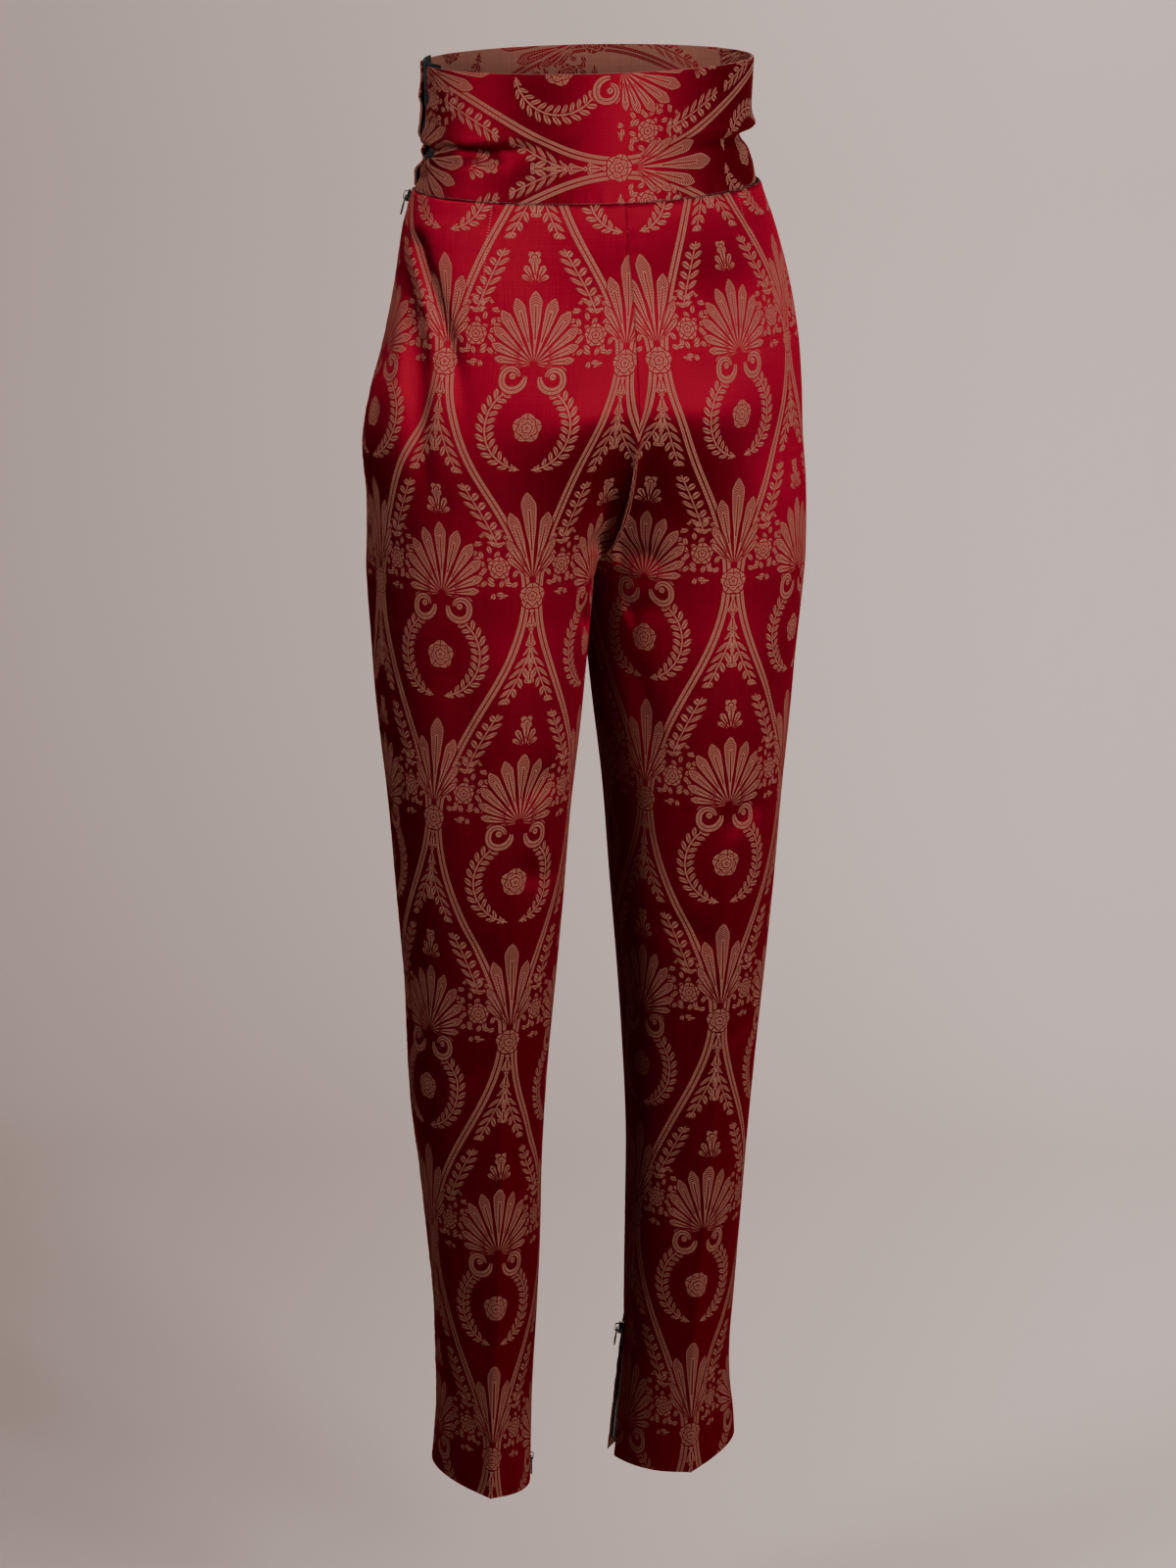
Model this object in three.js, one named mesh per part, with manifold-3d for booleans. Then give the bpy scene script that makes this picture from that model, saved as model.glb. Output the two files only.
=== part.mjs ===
// High-waisted jacquard trousers, as worn: a hollow garment of separate cloth panels
// with a side zip, two ankle zips and an underlap behind the waistband's opening.
//
// Millimetres, +Z up. The origin is the centre of the natural waist, where the wearer
// holds the trousers up. The wearer faces -Y, and the wearer's left is +X.
//
// One surface carries every piece. A point on it has two numbers:
//   r  the place round the body: 0 centre back, 0.5 left side, 1 centre front,
//      1.5 (or -0.5) right side. From the crotch down each half closes into a leg,
//      and r = 0 and r = 1 are both the leg's inner side.
//   v  the drop from the waistband's seam, in mm: negative on the waistband.
// A piece is a patch of that surface, moved inwards by its depth, with a thickness.

import * as THREE from 'three';
import Module from 'manifold-3d';
import { mergeVertices } from 'three/addons/utils/BufferGeometryUtils.js';

// ---------------------------------------------------------------- driving sizes (mm)

const TOP_Z = 63.5;            // top edge of the waistband
const WAIST_SEAM_Z = -30;      // seam between waistband and trousers
const HIP_Z = -182;            // fullest part of the seat, where the crotch curve starts
const CROTCH_Z = -320;         // lowest point of the crotch curve
const SLIT_TOP_Z = -941;       // top of the ankle slits
const HEM_Z = -1050;           // hem at the creases
const CROTCH_RUN = 200;        // length of v given to the crotch curve

const CLOTH = 1.5;             // wall of the panels
const BAND = 2.2;              // wall of the doubled waistband
const TAPE = 1.0;              // wall of zip tape
const UNDERLAP = 1.2;          // wall of the black underlap
const GAP = 0.3;               // clearance between neighbouring pieces

const SEAM_DIP = 3;            // the waist seam dips this much at centre back
const HEM_TILT = 9;            // the hem is this much higher at the outer side
const LOBE_X = 60;             // fullest line of the seat, from centre back
const LOBE_SPREAD = 38;

// Torso sections: half-width, and the reach of the centre back and centre front.
const TORSO = [
  { z: 66, side: 131.5, back: 97, front: -88, lobe: 0 },
  { z: 40, side: 130.3, back: 95.5, front: -87, lobe: 0 },
  { z: 12, side: 131.6, back: 94, front: -86, lobe: 0 },
  { z: 0, side: 130.0, back: 93, front: -86, lobe: 0 },
  { z: -30, side: 135.0, back: 94, front: -90, lobe: 0 },
  { z: -60, side: 144.3, back: 99.5, front: -95, lobe: 1 },
  { z: -100, side: 153.0, back: 110, front: -101, lobe: 4 },
  { z: -140, side: 160.8, back: 117, front: -107, lobe: 7 },
  { z: -182, side: 168.5, back: 123, front: -111, lobe: 9 },
  { z: -220, side: 172.3, back: 123, front: -112, lobe: 10 },
  { z: -260, side: 172.3, back: 123, front: -112, lobe: 9 },
  { z: -320, side: 170.5, back: 123, front: -112, lobe: 6 },
];

// As worn, the cloth sits a little over to the wearer's right: both sides move by this.
const LEAN = [
  { z: 66, by: 5.2 },
  { z: 12, by: 4.2 },
  { z: -30, by: 3.4 },
  { z: -100, by: 6.4 },
  { z: -145, by: 5.6 },
  { z: -182, by: 1.6 },
  { z: -220, by: -0.4 },
  { z: -262, by: 3.6 },
  { z: -310, by: 4.4 },
  { z: -400, by: 0.4 },
  { z: -460, by: 0 },
];

// Leg sections: centre, half-width, half-depth, how crisply the creases are pressed
// (0 round, 1 a lens with two sharp edges) and how far each leg's back crease is
// turned outwards, in degrees.
const LEG = [
  { z: -320, x: 85.4, y: 0, wide: 85.0, deep: 104, crisp: 0.0, turnLeft: -3, turnRight: -3 },
  { z: -345, x: 85.7, y: 2, wide: 83.0, deep: 102, crisp: 0.1, turnLeft: -3, turnRight: -3 },
  { z: -380, x: 86.0, y: 5, wide: 79.5, deep: 100, crisp: 0.2, turnLeft: -3, turnRight: -3 },
  { z: -430, x: 86.5, y: 7, wide: 75.0, deep: 97, crisp: 0.3, turnLeft: -2, turnRight: -3 },
  { z: -500, x: 87.0, y: 8, wide: 67.5, deep: 92, crisp: 0.4, turnLeft: 0, turnRight: -3 },
  { z: -570, x: 87.0, y: 8, wide: 62.5, deep: 87, crisp: 0.5, turnLeft: 2, turnRight: -4 },
  { z: -640, x: 87.0, y: 7, wide: 56.5, deep: 82, crisp: 0.6, turnLeft: 2, turnRight: -4 },
  { z: -710, x: 86.7, y: 5, wide: 51.0, deep: 77, crisp: 0.7, turnLeft: 4, turnRight: -5 },
  { z: -780, x: 85.4, y: 4, wide: 46.5, deep: 74, crisp: 0.8, turnLeft: 7, turnRight: -6 },
  { z: -850, x: 83.0, y: 1, wide: 44.0, deep: 72, crisp: 0.9, turnLeft: 10, turnRight: -8 },
  { z: -910, x: 80.7, y: -4, wide: 41.0, deep: 70.5, crisp: 1.0, turnLeft: 12, turnRight: -9 },
  { z: -980, x: 79.0, y: -10, wide: 37.5, deep: 69.5, crisp: 1.0, turnLeft: 13, turnRight: -9 },
  { z: -1060, x: 78.4, y: -14, wide: 36.5, deep: 69, crisp: 1.0, turnLeft: 14, turnRight: -9 },
];

// How far each leg's outer side stands out from its section: a soft wobble at the left
// calf, and the right hem spread by its open zip.
const OUTER_SIDE = [
  { z: -640, left: 0, right: 0 },
  { z: -740, left: 4.5, right: 0 },
  { z: -800, left: 2, right: 0.5 },
  { z: -860, left: -0.5, right: 2 },
  { z: -906, left: -1.5, right: 4.7 },
  { z: -955, left: 0, right: 6.8 },
  { z: -1000, left: 1, right: 10.8 },
  { z: -1030, left: 3, right: 15 },
  { z: -1060, left: 6, right: 17.5 },
];

// Where the side seams and inseams run: the back panels are the wider ones.
const SEAMS = [
  { z: 66, side: 0.573, inner: 0 },
  { z: -30, side: 0.573, inner: 0 },
  { z: -320, side: 0.55, inner: 0 },
  { z: -600, side: 0.535, inner: 0 },
  { z: -941, side: 0.525, inner: 8 },
  { z: -1060, side: 0.522, inner: 16 },
];

// ---------------------------------------------------------------- small helpers

const mix = (a, b, t) => a + (b - a) * t;
const clamp = (t, low, high) => Math.min(high, Math.max(low, t));
const smooth = (t) => clamp(t, 0, 1) ** 2 * (3 - 2 * clamp(t, 0, 1));
const radians = THREE.MathUtils.degToRad;

// A smooth curve through one column of a table whose rows go down in z.
function lookUp(table, z, key) {
  const last = table.length - 1;
  let i = table.findIndex((row) => row.z < z) - 1;
  if (i === -2) i = last - 1;
  i = clamp(i, 0, last - 1);
  const slope = (k) => {
    const a = table[Math.max(k - 1, 0)];
    const b = table[Math.min(k + 1, last)];
    return (b[key] - a[key]) / (b.z - a.z);
  };
  const [p, q] = [table[i], table[i + 1]];
  const h = q.z - p.z;
  const t = clamp((z - p.z) / h, 0, 1);
  const s = 1 - t;
  return p[key] * (1 + 2 * t) * s * s + q[key] * (3 - 2 * t) * t * t
    + h * (slope(i) * t * s * s - slope(i + 1) * t * t * s);
}

// ---------------------------------------------------------------- the garment's surface

// Height and crotch angle for a drop v below the waist seam.
const HIP_V = WAIST_SEAM_Z - HIP_Z;
const CROTCH_V = HIP_V + CROTCH_RUN;
const LEG_V = (z) => CROTCH_V + CROTCH_Z - z;     // v of a height on the legs
const TOP_V = WAIST_SEAM_Z - TOP_Z;               // v of the waistband's top edge

function levelAt(v) {
  if (v <= HIP_V) return { z: WAIST_SEAM_Z - v, phi: 0 };
  if (v >= CROTCH_V) return { z: CROTCH_Z - (v - CROTCH_V), phi: Math.PI / 2 };
  const phi = (v - HIP_V) / CROTCH_RUN * Math.PI / 2;
  return { z: mix(HIP_Z, CROTCH_Z, Math.sin(phi)), phi };
}

// Half a torso section: an ellipse from centre back (s = 0) round to centre front (1),
// with the fuller line of the seat added.
function torsoPoint(z, s) {
  const angle = Math.PI * s - Math.PI / 12 * Math.sin(2 * Math.PI * s);
  const back = lookUp(TORSO, z, 'back');
  const front = lookUp(TORSO, z, 'front');
  const x = lookUp(TORSO, z, 'side') * Math.sin(angle);
  const seat = lookUp(TORSO, z, 'lobe') * Math.exp(-(((x - LOBE_X) / LOBE_SPREAD) ** 2));
  const y = (back + front) / 2 + (back - front) / 2 * Math.cos(angle);
  return [x, y + seat * Math.max(Math.cos(angle), 0), z];
}

// A leg section: between an ellipse and a lens of two arcs that meet at the creases.
function legPoint(z, s, turnKey) {
  const wide = lookUp(LEG, z, 'wide');
  const deep = lookUp(LEG, z, 'deep');
  const angle = 2 * Math.PI * s - Math.PI / 2;
  const turned = Math.atan2(Math.sin(angle), Math.cos(angle));
  const radius = (wide ** 2 + deep ** 2) / (2 * wide);
  const half = Math.atan2(deep, radius - wide);
  const along = half * (1 - 2 * Math.abs(turned) / Math.PI);
  const lensX = Math.sign(turned) * radius * (Math.cos(along) - Math.cos(half));
  const crisp = lookUp(LEG, z, 'crisp');
  const x = mix(wide * Math.sin(angle), lensX, crisp);
  const y = mix(deep * Math.cos(angle), radius * Math.sin(along), crisp);
  const turn = radians(lookUp(LEG, z, turnKey));
  return [
    lookUp(LEG, z, 'x') + x * Math.cos(turn) + y * Math.sin(turn),
    lookUp(LEG, z, 'y') - x * Math.sin(turn) + y * Math.cos(turn),
    z,
  ];
}

// The right ankle's slit is open: both its edges splay towards the other leg.
const SPLAY = { back: 8, backRun: 0.14, front: 25, frontRun: 0.22 };
function splay(z, s) {
  const open = Math.max(SLIT_TOP_Z - z, 0) / (SLIT_TOP_Z - HEM_Z);
  const backEdge = SPLAY.back * clamp(1 - s / SPLAY.backRun, 0, 1.2) ** 2;
  const frontEdge = SPLAY.front * clamp(1 - (1 - s) / SPLAY.frontRun, 0, 1) ** 2;
  return open * (backEdge + frontEdge);
}

// Outwards shift of a half's points: the lean, and the wobble of the outer side.
const OUTER_SPREAD = 0.2;
function outwards(z, s, isLeft) {
  const lean = lookUp(LEAN, z, 'by') * Math.sin(Math.PI * clamp(s, 0, 1));
  const side = z < OUTER_SIDE[0].z ? lookUp(OUTER_SIDE, z, isLeft ? 'left' : 'right') : 0;
  return (isLeft ? -lean : lean) + side * Math.exp(-(((s - 0.5) / OUTER_SPREAD) ** 2));
}

// The garment's outer surface at (r, v). Near a leg's inner side r alone doesn't tell
// the legs apart, so pieces of a leg also say their half: 1 left, -1 right.
const LEFT = 1;
const RIGHT = -1;
const halfOf = (r) => (r >= 0 && r <= 1 ? LEFT : RIGHT);

function surface(r, v, half = halfOf(r)) {
  const isLeft = half === LEFT;
  const s = isLeft ? r : (r < 0.5 ? -r : 2 - r);
  const { z, phi } = levelAt(v);
  const turnKey = isLeft ? 'turnLeft' : 'turnRight';
  let point;
  if (phi === 0) {
    point = torsoPoint(z, s);
  } else if (z <= CROTCH_Z) {
    point = legPoint(z, s, turnKey);
  } else {
    // Near the centre seams the section closes on a curve like a J; further out it
    // passes smoothly from the seat to the thigh.
    const atSeam = Math.abs(2 * s - 1) ** 7;
    const drop = (HIP_Z - z) / (HIP_Z - CROTCH_Z);
    const weight = mix(smooth(drop), 1 - Math.cos(phi), atSeam);
    const torso = torsoPoint(z, s);
    const leg = legPoint(CROTCH_Z, s, turnKey);
    point = torso.map((value, k) => mix(value, leg[k], weight));
    point[2] = z;
  }
  point[0] += outwards(z, s, isLeft);
  if (!isLeft) point[0] -= splay(z, s);
  const round = Math.cos(Math.PI * s);
  point[2] -= SEAM_DIP * round * smooth(1 - Math.abs(v) / 80);
  point[2] -= HEM_TILT * Math.cos(2 * Math.PI * s) * smooth((SLIT_TOP_Z - z) / (SLIT_TOP_Z - HEM_Z));
  return isLeft ? point : [-point[0], point[1], point[2]];
}

const toVector = (p) => new THREE.Vector3(p[0], p[1], p[2]);

// Outward normal, the direction down the cloth, and the speed along r, in mm.
function frameAt(r, v, half = halfOf(r)) {
  const dr = 0.002;
  const dv = 0.5;
  const across = toVector(surface(r + dr, v, half)).sub(toVector(surface(r - dr, v, half)));
  const down = toVector(surface(r, v + dv, half)).sub(toVector(surface(r, v - dv, half)));
  const speed = across.length() / (2 * dr);
  const normal = across.clone().cross(down).normalize();
  return { normal, speed, down: down.normalize() };
}

// A point of the surface moved inwards by depth.
function placed(r, v, depth, half = halfOf(r)) {
  const { normal } = frameAt(r, v, half);
  return toVector(surface(r, v, half)).addScaledVector(normal, -depth);
}

// ---------------------------------------------------------------- cloth as thin walls

// A closed wall from two grids of points, rows going down and columns going round.
function wallGeometry(outer, inner) {
  const rows = outer.length;
  const columns = outer[0].length;
  const points = [...outer.flat(), ...inner.flat()];
  const far = rows * columns;
  const at = (i, j) => i * columns + j;
  const index = [];
  const quad = (a, b, c, d) => index.push(a, c, b, a, d, c);
  for (let i = 0; i < rows - 1; i += 1) {
    for (let j = 0; j < columns - 1; j += 1) {
      const corners = [at(i, j), at(i + 1, j), at(i + 1, j + 1), at(i, j + 1)];
      quad(...corners);
      quad(...corners.map((k) => k + far).reverse());
    }
  }
  for (let j = 0; j < columns - 1; j += 1) {
    quad(at(0, j), at(0, j + 1), at(0, j + 1) + far, at(0, j) + far);
    const last = rows - 1;
    quad(at(last, j + 1), at(last, j), at(last, j) + far, at(last, j + 1) + far);
  }
  for (let i = 0; i < rows - 1; i += 1) {
    quad(at(i + 1, 0), at(i, 0), at(i, 0) + far, at(i + 1, 0) + far);
    const last = columns - 1;
    quad(at(i, last), at(i + 1, last), at(i + 1, last) + far, at(i, last) + far);
  }
  const geometry = new THREE.BufferGeometry();
  geometry.setAttribute('position', new THREE.Float32BufferAttribute(
    points.flatMap((p) => [p.x, p.y, p.z]), 3));
  geometry.setIndex(index);
  return geometry;
}

// A patch of the surface between two edges. Each edge is a function of v that gives
// r; depths may be numbers or functions of (r, v). A piece of one half stays in it.
function patch({ levels, from, to, columns, depth, thickness, half }) {
  const outer = [];
  const inner = [];
  const value = (f, r, v) => (typeof f === 'function' ? f(r, v) : f);
  const kept = (p) => {
    if (half) p.x = half * Math.max(half * p.x, GAP / 2);
    return p;
  };
  for (const v of levels) {
    const a = from(v);
    const b = to(v);
    const outerRow = [];
    const innerRow = [];
    for (let j = 0; j <= columns; j += 1) {
      const r = mix(a, b, j / columns);
      const d = value(depth, r, v);
      outerRow.push(kept(placed(r, v, d, half)));
      innerRow.push(kept(placed(r, v, d + value(thickness, r, v), half)));
    }
    outer.push(outerRow);
    inner.push(innerRow);
  }
  return { levels, outer, inner, geometry: wallGeometry(outer, inner) };
}

// A point carried by a panel: v down one of its upright edges, in mm in from that edge
// (negative past it), and a depth behind its inner face. It lies on the panel's facets.
function onPanel(panel, atLast, v, inwards, depth) {
  const { levels, outer, inner } = panel;
  const i = clamp(levels.findIndex((level) => level > v) - 1, 0, levels.length - 2);
  const t = (v - levels[i]) / (levels[i + 1] - levels[i]);
  const column = (grid, k) => {
    const pick = (row) => row.at(atLast ? -1 - k : k);
    return pick(grid[i]).clone().lerp(pick(grid[i + 1]), t);
  };
  const corner = column(inner, 0);
  const along = column(inner, 1).sub(corner).setLength(inwards);
  const deeper = corner.clone().sub(column(outer, 0)).setLength(depth);
  return corner.add(along).add(deeper);
}

// A strip between two lines, each a function (v, depth) that gives a point.
function strip({ levels, first, second, depth, thickness }) {
  const rowsAt = (extra) => levels.map((v) => [first, second].map(
    (line) => line(v, depth(v) + (extra ? thickness(v) : 0))));
  return wallGeometry(rowsAt(false), rowsAt(true));
}

// ---------------------------------------------------------------- zips

// Each zip: where it lies, how the cloth opens round it and where its slider stays.
const SLIDER = { wide: 7.6, tall: 10, thick: 4.0, lift: 2.6 };
const PULL = { wide: 5.6, length: 16, thick: 1.0 };
const BAIL = { wide: 1.6, half: 3.5, leg: 1.0, clear: 2.2, bar: 0.9 };
const PIVOT_N = 1.1;               // height of the pull's crossbar over the slider
const EYE = { wide: 3.0, end: 4.8, bar: 1.0 };
const BEHIND = 0.55;               // tape and chain lie this far behind the panels
const CHAIN = { wide: 4.6, thick: 1.6, lift: 2.9 };
const TAPE_REACH = 11.5;           // tape on each side of the chain

const SIDE_ZIP = { top: -30.3, bottom: -182, slider: -38 };
const LEFT_ANKLE_ZIP = { top: -936, bottom: -1045, slider: -1040 };
const RIGHT_ANKLE_ZIP = { top: -936, bottom: -1045, slider: -951 };
const SLIDER_ROOM = 10.6;          // the cloth opens this wide for a slider

// Width of the opening in the cloth at each zip, by height. A closed zip's opening
// widens towards its slider over a run; the open zip's goes on widening to the hem.
const SIDE_CLOSES_AT = -68;
const LEFT_CLOSES_AT = -1008;
const CLOSED_RUN = 24;
const RIGHT_OPEN = { top: -936, run: 9, widens: -956, by: 8 };
const sideOpening = (z) => SLIDER_ROOM * smooth((z - SIDE_CLOSES_AT) / CLOSED_RUN);
const leftAnkleOpening = (z) => SLIDER_ROOM * smooth((LEFT_CLOSES_AT - z) / CLOSED_RUN);
function rightAnkleOpening(z) {
  const { top, run, widens, by } = RIGHT_OPEN;
  const atSlider = SLIDER_ROOM * smooth((top - z) / run);
  return atSlider + by * Math.max((widens - z) / (widens - HEM_Z), 0);
}

const heightOf = (v) => levelAt(v).z;
const speedAt = (r, v, half) => frameAt(r, v, half).speed;

// Seam lines in r. The sides of both halves mirror each other.
const sideLeft = (v) => lookUp(SEAMS, heightOf(v), 'side');
const sideRight = (v) => 2 - sideLeft(v);
// Along a leg's inner side the seam lies forwards of r = 1 by the shift.
const innerShift = (v) => (v < CROTCH_V ? 0 : lookUp(SEAMS, heightOf(v), 'inner'));
const inseamLeft = (v) => 1 - innerShift(v) / speedAt(0.97, v, LEFT);
const inseamRight = (v) => 1 + innerShift(v) / speedAt(1.03, v, RIGHT);
// The same line, counted from the back panel's side.
const fromBack = (line) => (v) => line(v) - 1;

// A line moved along r by an offset in mm.
const edge = (line, offset, half) => (v) => line(v) + offset(v) / speedAt(line(v), v, half);

// ---------------------------------------------------------------- the pieces

const trousers = new THREE.Group();

const jacquard = new THREE.MeshStandardMaterial({ color: 0x6e1822, roughness: 0.5 });
const bandCloth = new THREE.MeshStandardMaterial({ color: 0x7c2630, roughness: 0.5 });
const blackTape = new THREE.MeshStandardMaterial({ color: 0x0b0b0d, roughness: 0.9 });
const metal = new THREE.MeshStandardMaterial({ color: 0x2a2a2d, roughness: 0.45, metalness: 1 });
for (const material of [jacquard, bandCloth, blackTape, metal]) material.flatShading = true;

function add(name, geometry, material) {
  const mesh = new THREE.Mesh(geometry, material);
  mesh.name = name;
  trousers.add(mesh);
  return mesh;
}

// Leg panels. Rows are close where the crotch curve bends and at the ankle.
const PANEL_LEVELS = [
  GAP / 2, 14, 26, 38, 55, 80, 115, HIP_V,
  ...[20, 38, 54, 67, 79].map((degrees) => HIP_V + CROTCH_RUN * degrees / 90),
  CROTCH_V,
  ...[-345, -380, -430, -500, -570, -640, -710, -780, -850, -905, -936, -945, -975, -1008, -1032, -1045]
    .map(LEG_V),
  LEG_V(HEM_Z),
];
const PANEL_COLUMNS = 12;
const HALF_GAP = GAP / 2;

function addPanel(name, half, from, to) {
  const panel = patch({
    levels: PANEL_LEVELS, from, to, columns: PANEL_COLUMNS, depth: 0, thickness: CLOTH, half,
  });
  add(name, panel.geometry, jacquard);
  return panel;
}

const onLegs = (opening) => (v) => (v > CROTCH_V ? opening(heightOf(v)) / 2 : 0) + HALF_GAP;
const ankleLeftHalf = onLegs(leftAnkleOpening);
const ankleRightHalf = onLegs(rightAnkleOpening);
const sideLeftHalf = (v) => sideOpening(heightOf(v)) / 2 + HALF_GAP;
const plainHalf = () => HALF_GAP;
const minus = (f) => (v) => -f(v);

// Each panel runs from its lower r to its higher r.
const backLeft = addPanel('back_left', LEFT,
  edge(fromBack(inseamLeft), ankleLeftHalf, LEFT), edge(sideLeft, minus(sideLeftHalf), LEFT));
const frontLeft = addPanel('front_left', LEFT,
  edge(sideLeft, sideLeftHalf, LEFT), edge(inseamLeft, minus(ankleLeftHalf), LEFT));
const frontRight = addPanel('front_right', RIGHT,
  edge(inseamRight, ankleRightHalf, RIGHT), edge(sideRight, minus(plainHalf), RIGHT));
const backRight = addPanel('back_right', RIGHT,
  edge((v) => sideRight(v) - 2, plainHalf, RIGHT),
  edge(fromBack(inseamRight), minus(ankleRightHalf), RIGHT));

// Waistband. Its back ends behind the left side; its front ends on the side seam with
// an edge that stands off in waves between the hooks.
const BAND_LEVELS = [TOP_V, -82, -70, -58, -46, -34, -25, -16, -7, -HALF_GAP];
const BAND_COLUMNS = 22;
const WAVES = [
  { z: 34, reach: 12, lift: 2.6 },
  { z: 3, reach: 8, lift: 3.0 },
  { z: -18, reach: 6, lift: 2.2 },
];
const WAVE_RUN = 0.09;             // the waves fade out over this much of r
const wave = (z) => WAVES.reduce(
  (sum, w) => sum + w.lift * Math.exp(-(((z - w.z) / w.reach) ** 2)), 0);
const waveDepth = (r, v) => (
  -wave(heightOf(v)) * smooth(1 - Math.abs(r - sideLeft(v)) / WAVE_RUN) ** 2);
const bandBackEnd = (v) => mix(0.517, 0.486, clamp(v / TOP_V, 0, 1));

add('waistband_back', patch({
  levels: BAND_LEVELS, columns: BAND_COLUMNS, depth: 0, thickness: BAND,
  from: edge((v) => sideRight(v) - 2, plainHalf),
  to: bandBackEnd,
}).geometry, bandCloth);
add('waistband_front', patch({
  levels: BAND_LEVELS, columns: BAND_COLUMNS, depth: waveDepth, thickness: BAND,
  from: sideLeft,
  to: edge(sideRight, minus(plainHalf)),
}).geometry, bandCloth);
const UNDERLAP_RISE = 2.5;         // it stands this much above the waistband
const UNDERLAP_DEPTH = 0.9;        // behind the band: the band's facets cut in this far
add('closure_underlap', patch({
  levels: [TOP_V - UNDERLAP_RISE, ...BAND_LEVELS], columns: 5,
  depth: BAND + UNDERLAP_DEPTH, thickness: UNDERLAP,
  from: () => 0.452,
  to: () => 0.612,
}).geometry, blackTape);

// Rows of a strip: its own, and the panel's where it crosses their creases.
function stripLevels(own) {
  const inside = PANEL_LEVELS.filter((v) => v > own[0] + 1 && v < own.at(-1) - 1);
  const clear = own.filter((v) => inside.every((row) => Math.abs(row - v) > 1));
  return [...inside, ...clear].sort((a, b) => a - b);
}

// Zip tape: a strip behind one panel's upright edge, between two distances from it.
function addTape(name, panel, atLast, ends, near, far) {
  const lines = [near, far].map((reach) => (v, depth) => (
    onPanel(panel, atLast, v, reach(v), depth)));
  const [first, second] = atLast ? [lines[1], lines[0]] : lines;
  add(name, strip({
    levels: stripLevels(ends), first, second,
    depth: () => BEHIND, thickness: () => TAPE,
  }), blackTape);
}

// Half the distance between two panels' edges at a seam.
const apart = (before, after, v) => (
  onPanel(before, true, v, 0, 0).distanceTo(onPanel(after, false, v, 0, 0)) / 2);

// The chain as one bar between the tapes of two panels. It lies behind the cloth and
// rises into view where the cloth is open wide enough for it.
function addChain(name, before, after, ends) {
  const room = (v) => apart(before, after, v) - CHAIN.wide / 2 - GAP;
  const rise = (v) => CHAIN.lift * smooth(room(v));
  const inwards = (v) => CHAIN.wide / 2 - apart(before, after, v);
  add(name, strip({
    levels: stripLevels(ends),
    first: (v, depth) => onPanel(before, true, v, inwards(v), depth),
    second: (v, depth) => onPanel(after, false, v, inwards(v), depth),
    depth: (v) => BEHIND - rise(v), thickness: (v) => CHAIN.thick + rise(v),
  }), metal);
}

// Both tapes of a closed zip, beside its chain: one on the panel that comes before the
// seam going round, one on the panel after it.
function addTapePair(names, before, after, ends) {
  const near = (v) => CHAIN.wide / 2 + GAP - apart(before, after, v);
  const far = (v) => TAPE_REACH - apart(before, after, v);
  addTape(names[0], before, true, ends, near, far);
  addTape(names[1], after, false, ends, near, far);
}

// Evenly spaced levels between two values of v.
const spread = (a, b, count) => Array.from({ length: count + 1 }, (_, k) => mix(a, b, k / count));

const wasm = await Module();
wasm.setup();

// A three.js geometry as a solid, and back.
function toSolid(geometry) {
  const bare = geometry.clone();
  bare.deleteAttribute('normal');
  bare.deleteAttribute('uv');
  const merged = mergeVertices(bare, 1e-4);
  return new wasm.Manifold(new wasm.Mesh({
    numProp: 3,
    vertProperties: new Float32Array(merged.attributes.position.array),
    triVerts: new Uint32Array(merged.index.array),
  }));
}

function toGeometry(solid) {
  const mesh = solid.getMesh();
  const geometry = new THREE.BufferGeometry();
  geometry.setAttribute('position', new THREE.Float32BufferAttribute(mesh.vertProperties, 3));
  geometry.setIndex(Array.from(mesh.triVerts));
  return geometry;
}

// A box by its size and centre, in a slider's frame: x across, y outwards, z up.
function block(size, centre) {
  const geometry = new THREE.BoxGeometry(size[0], size[1], size[2]);
  geometry.translate(centre[0], centre[1], centre[2]);
  return toSolid(geometry);
}

// Slider: a block with a bail, whose arch runs up and down over the pull's crossbar.
function sliderGeometry() {
  const bodyBlock = block([SLIDER.wide, SLIDER.thick, SLIDER.tall], [0, -SLIDER.thick / 2, 0]);
  const barHeight = BAIL.clear + BAIL.bar / 2;
  const bar = block([BAIL.wide, BAIL.bar, 2 * BAIL.half], [0, barHeight, 0]);
  const legHeight = BAIL.clear + 0.4;
  const legs = [-1, 1].map((end) => block(
    [BAIL.wide, legHeight, BAIL.leg],
    [0, legHeight / 2 - 0.2, end * (BAIL.half - BAIL.leg / 2)]));
  return toGeometry(bodyBlock.add(bar).add(legs[0]).add(legs[1]));
}

// Pull tab: a plate with an eye. It hangs from its crossbar, the hinge's axis.
function pullGeometry() {
  const plate = block([PULL.wide, PULL.thick, PULL.length + EYE.bar / 2],
    [0, 0, EYE.bar / 2 - (PULL.length + EYE.bar / 2) / 2]);
  const eyeLength = EYE.end - EYE.bar / 2;
  const eye = block([EYE.wide, PULL.thick + 1, eyeLength],
    [0, 0, -(EYE.bar / 2 + eyeLength / 2)]);
  return toGeometry(plate.subtract(eye));
}

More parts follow.
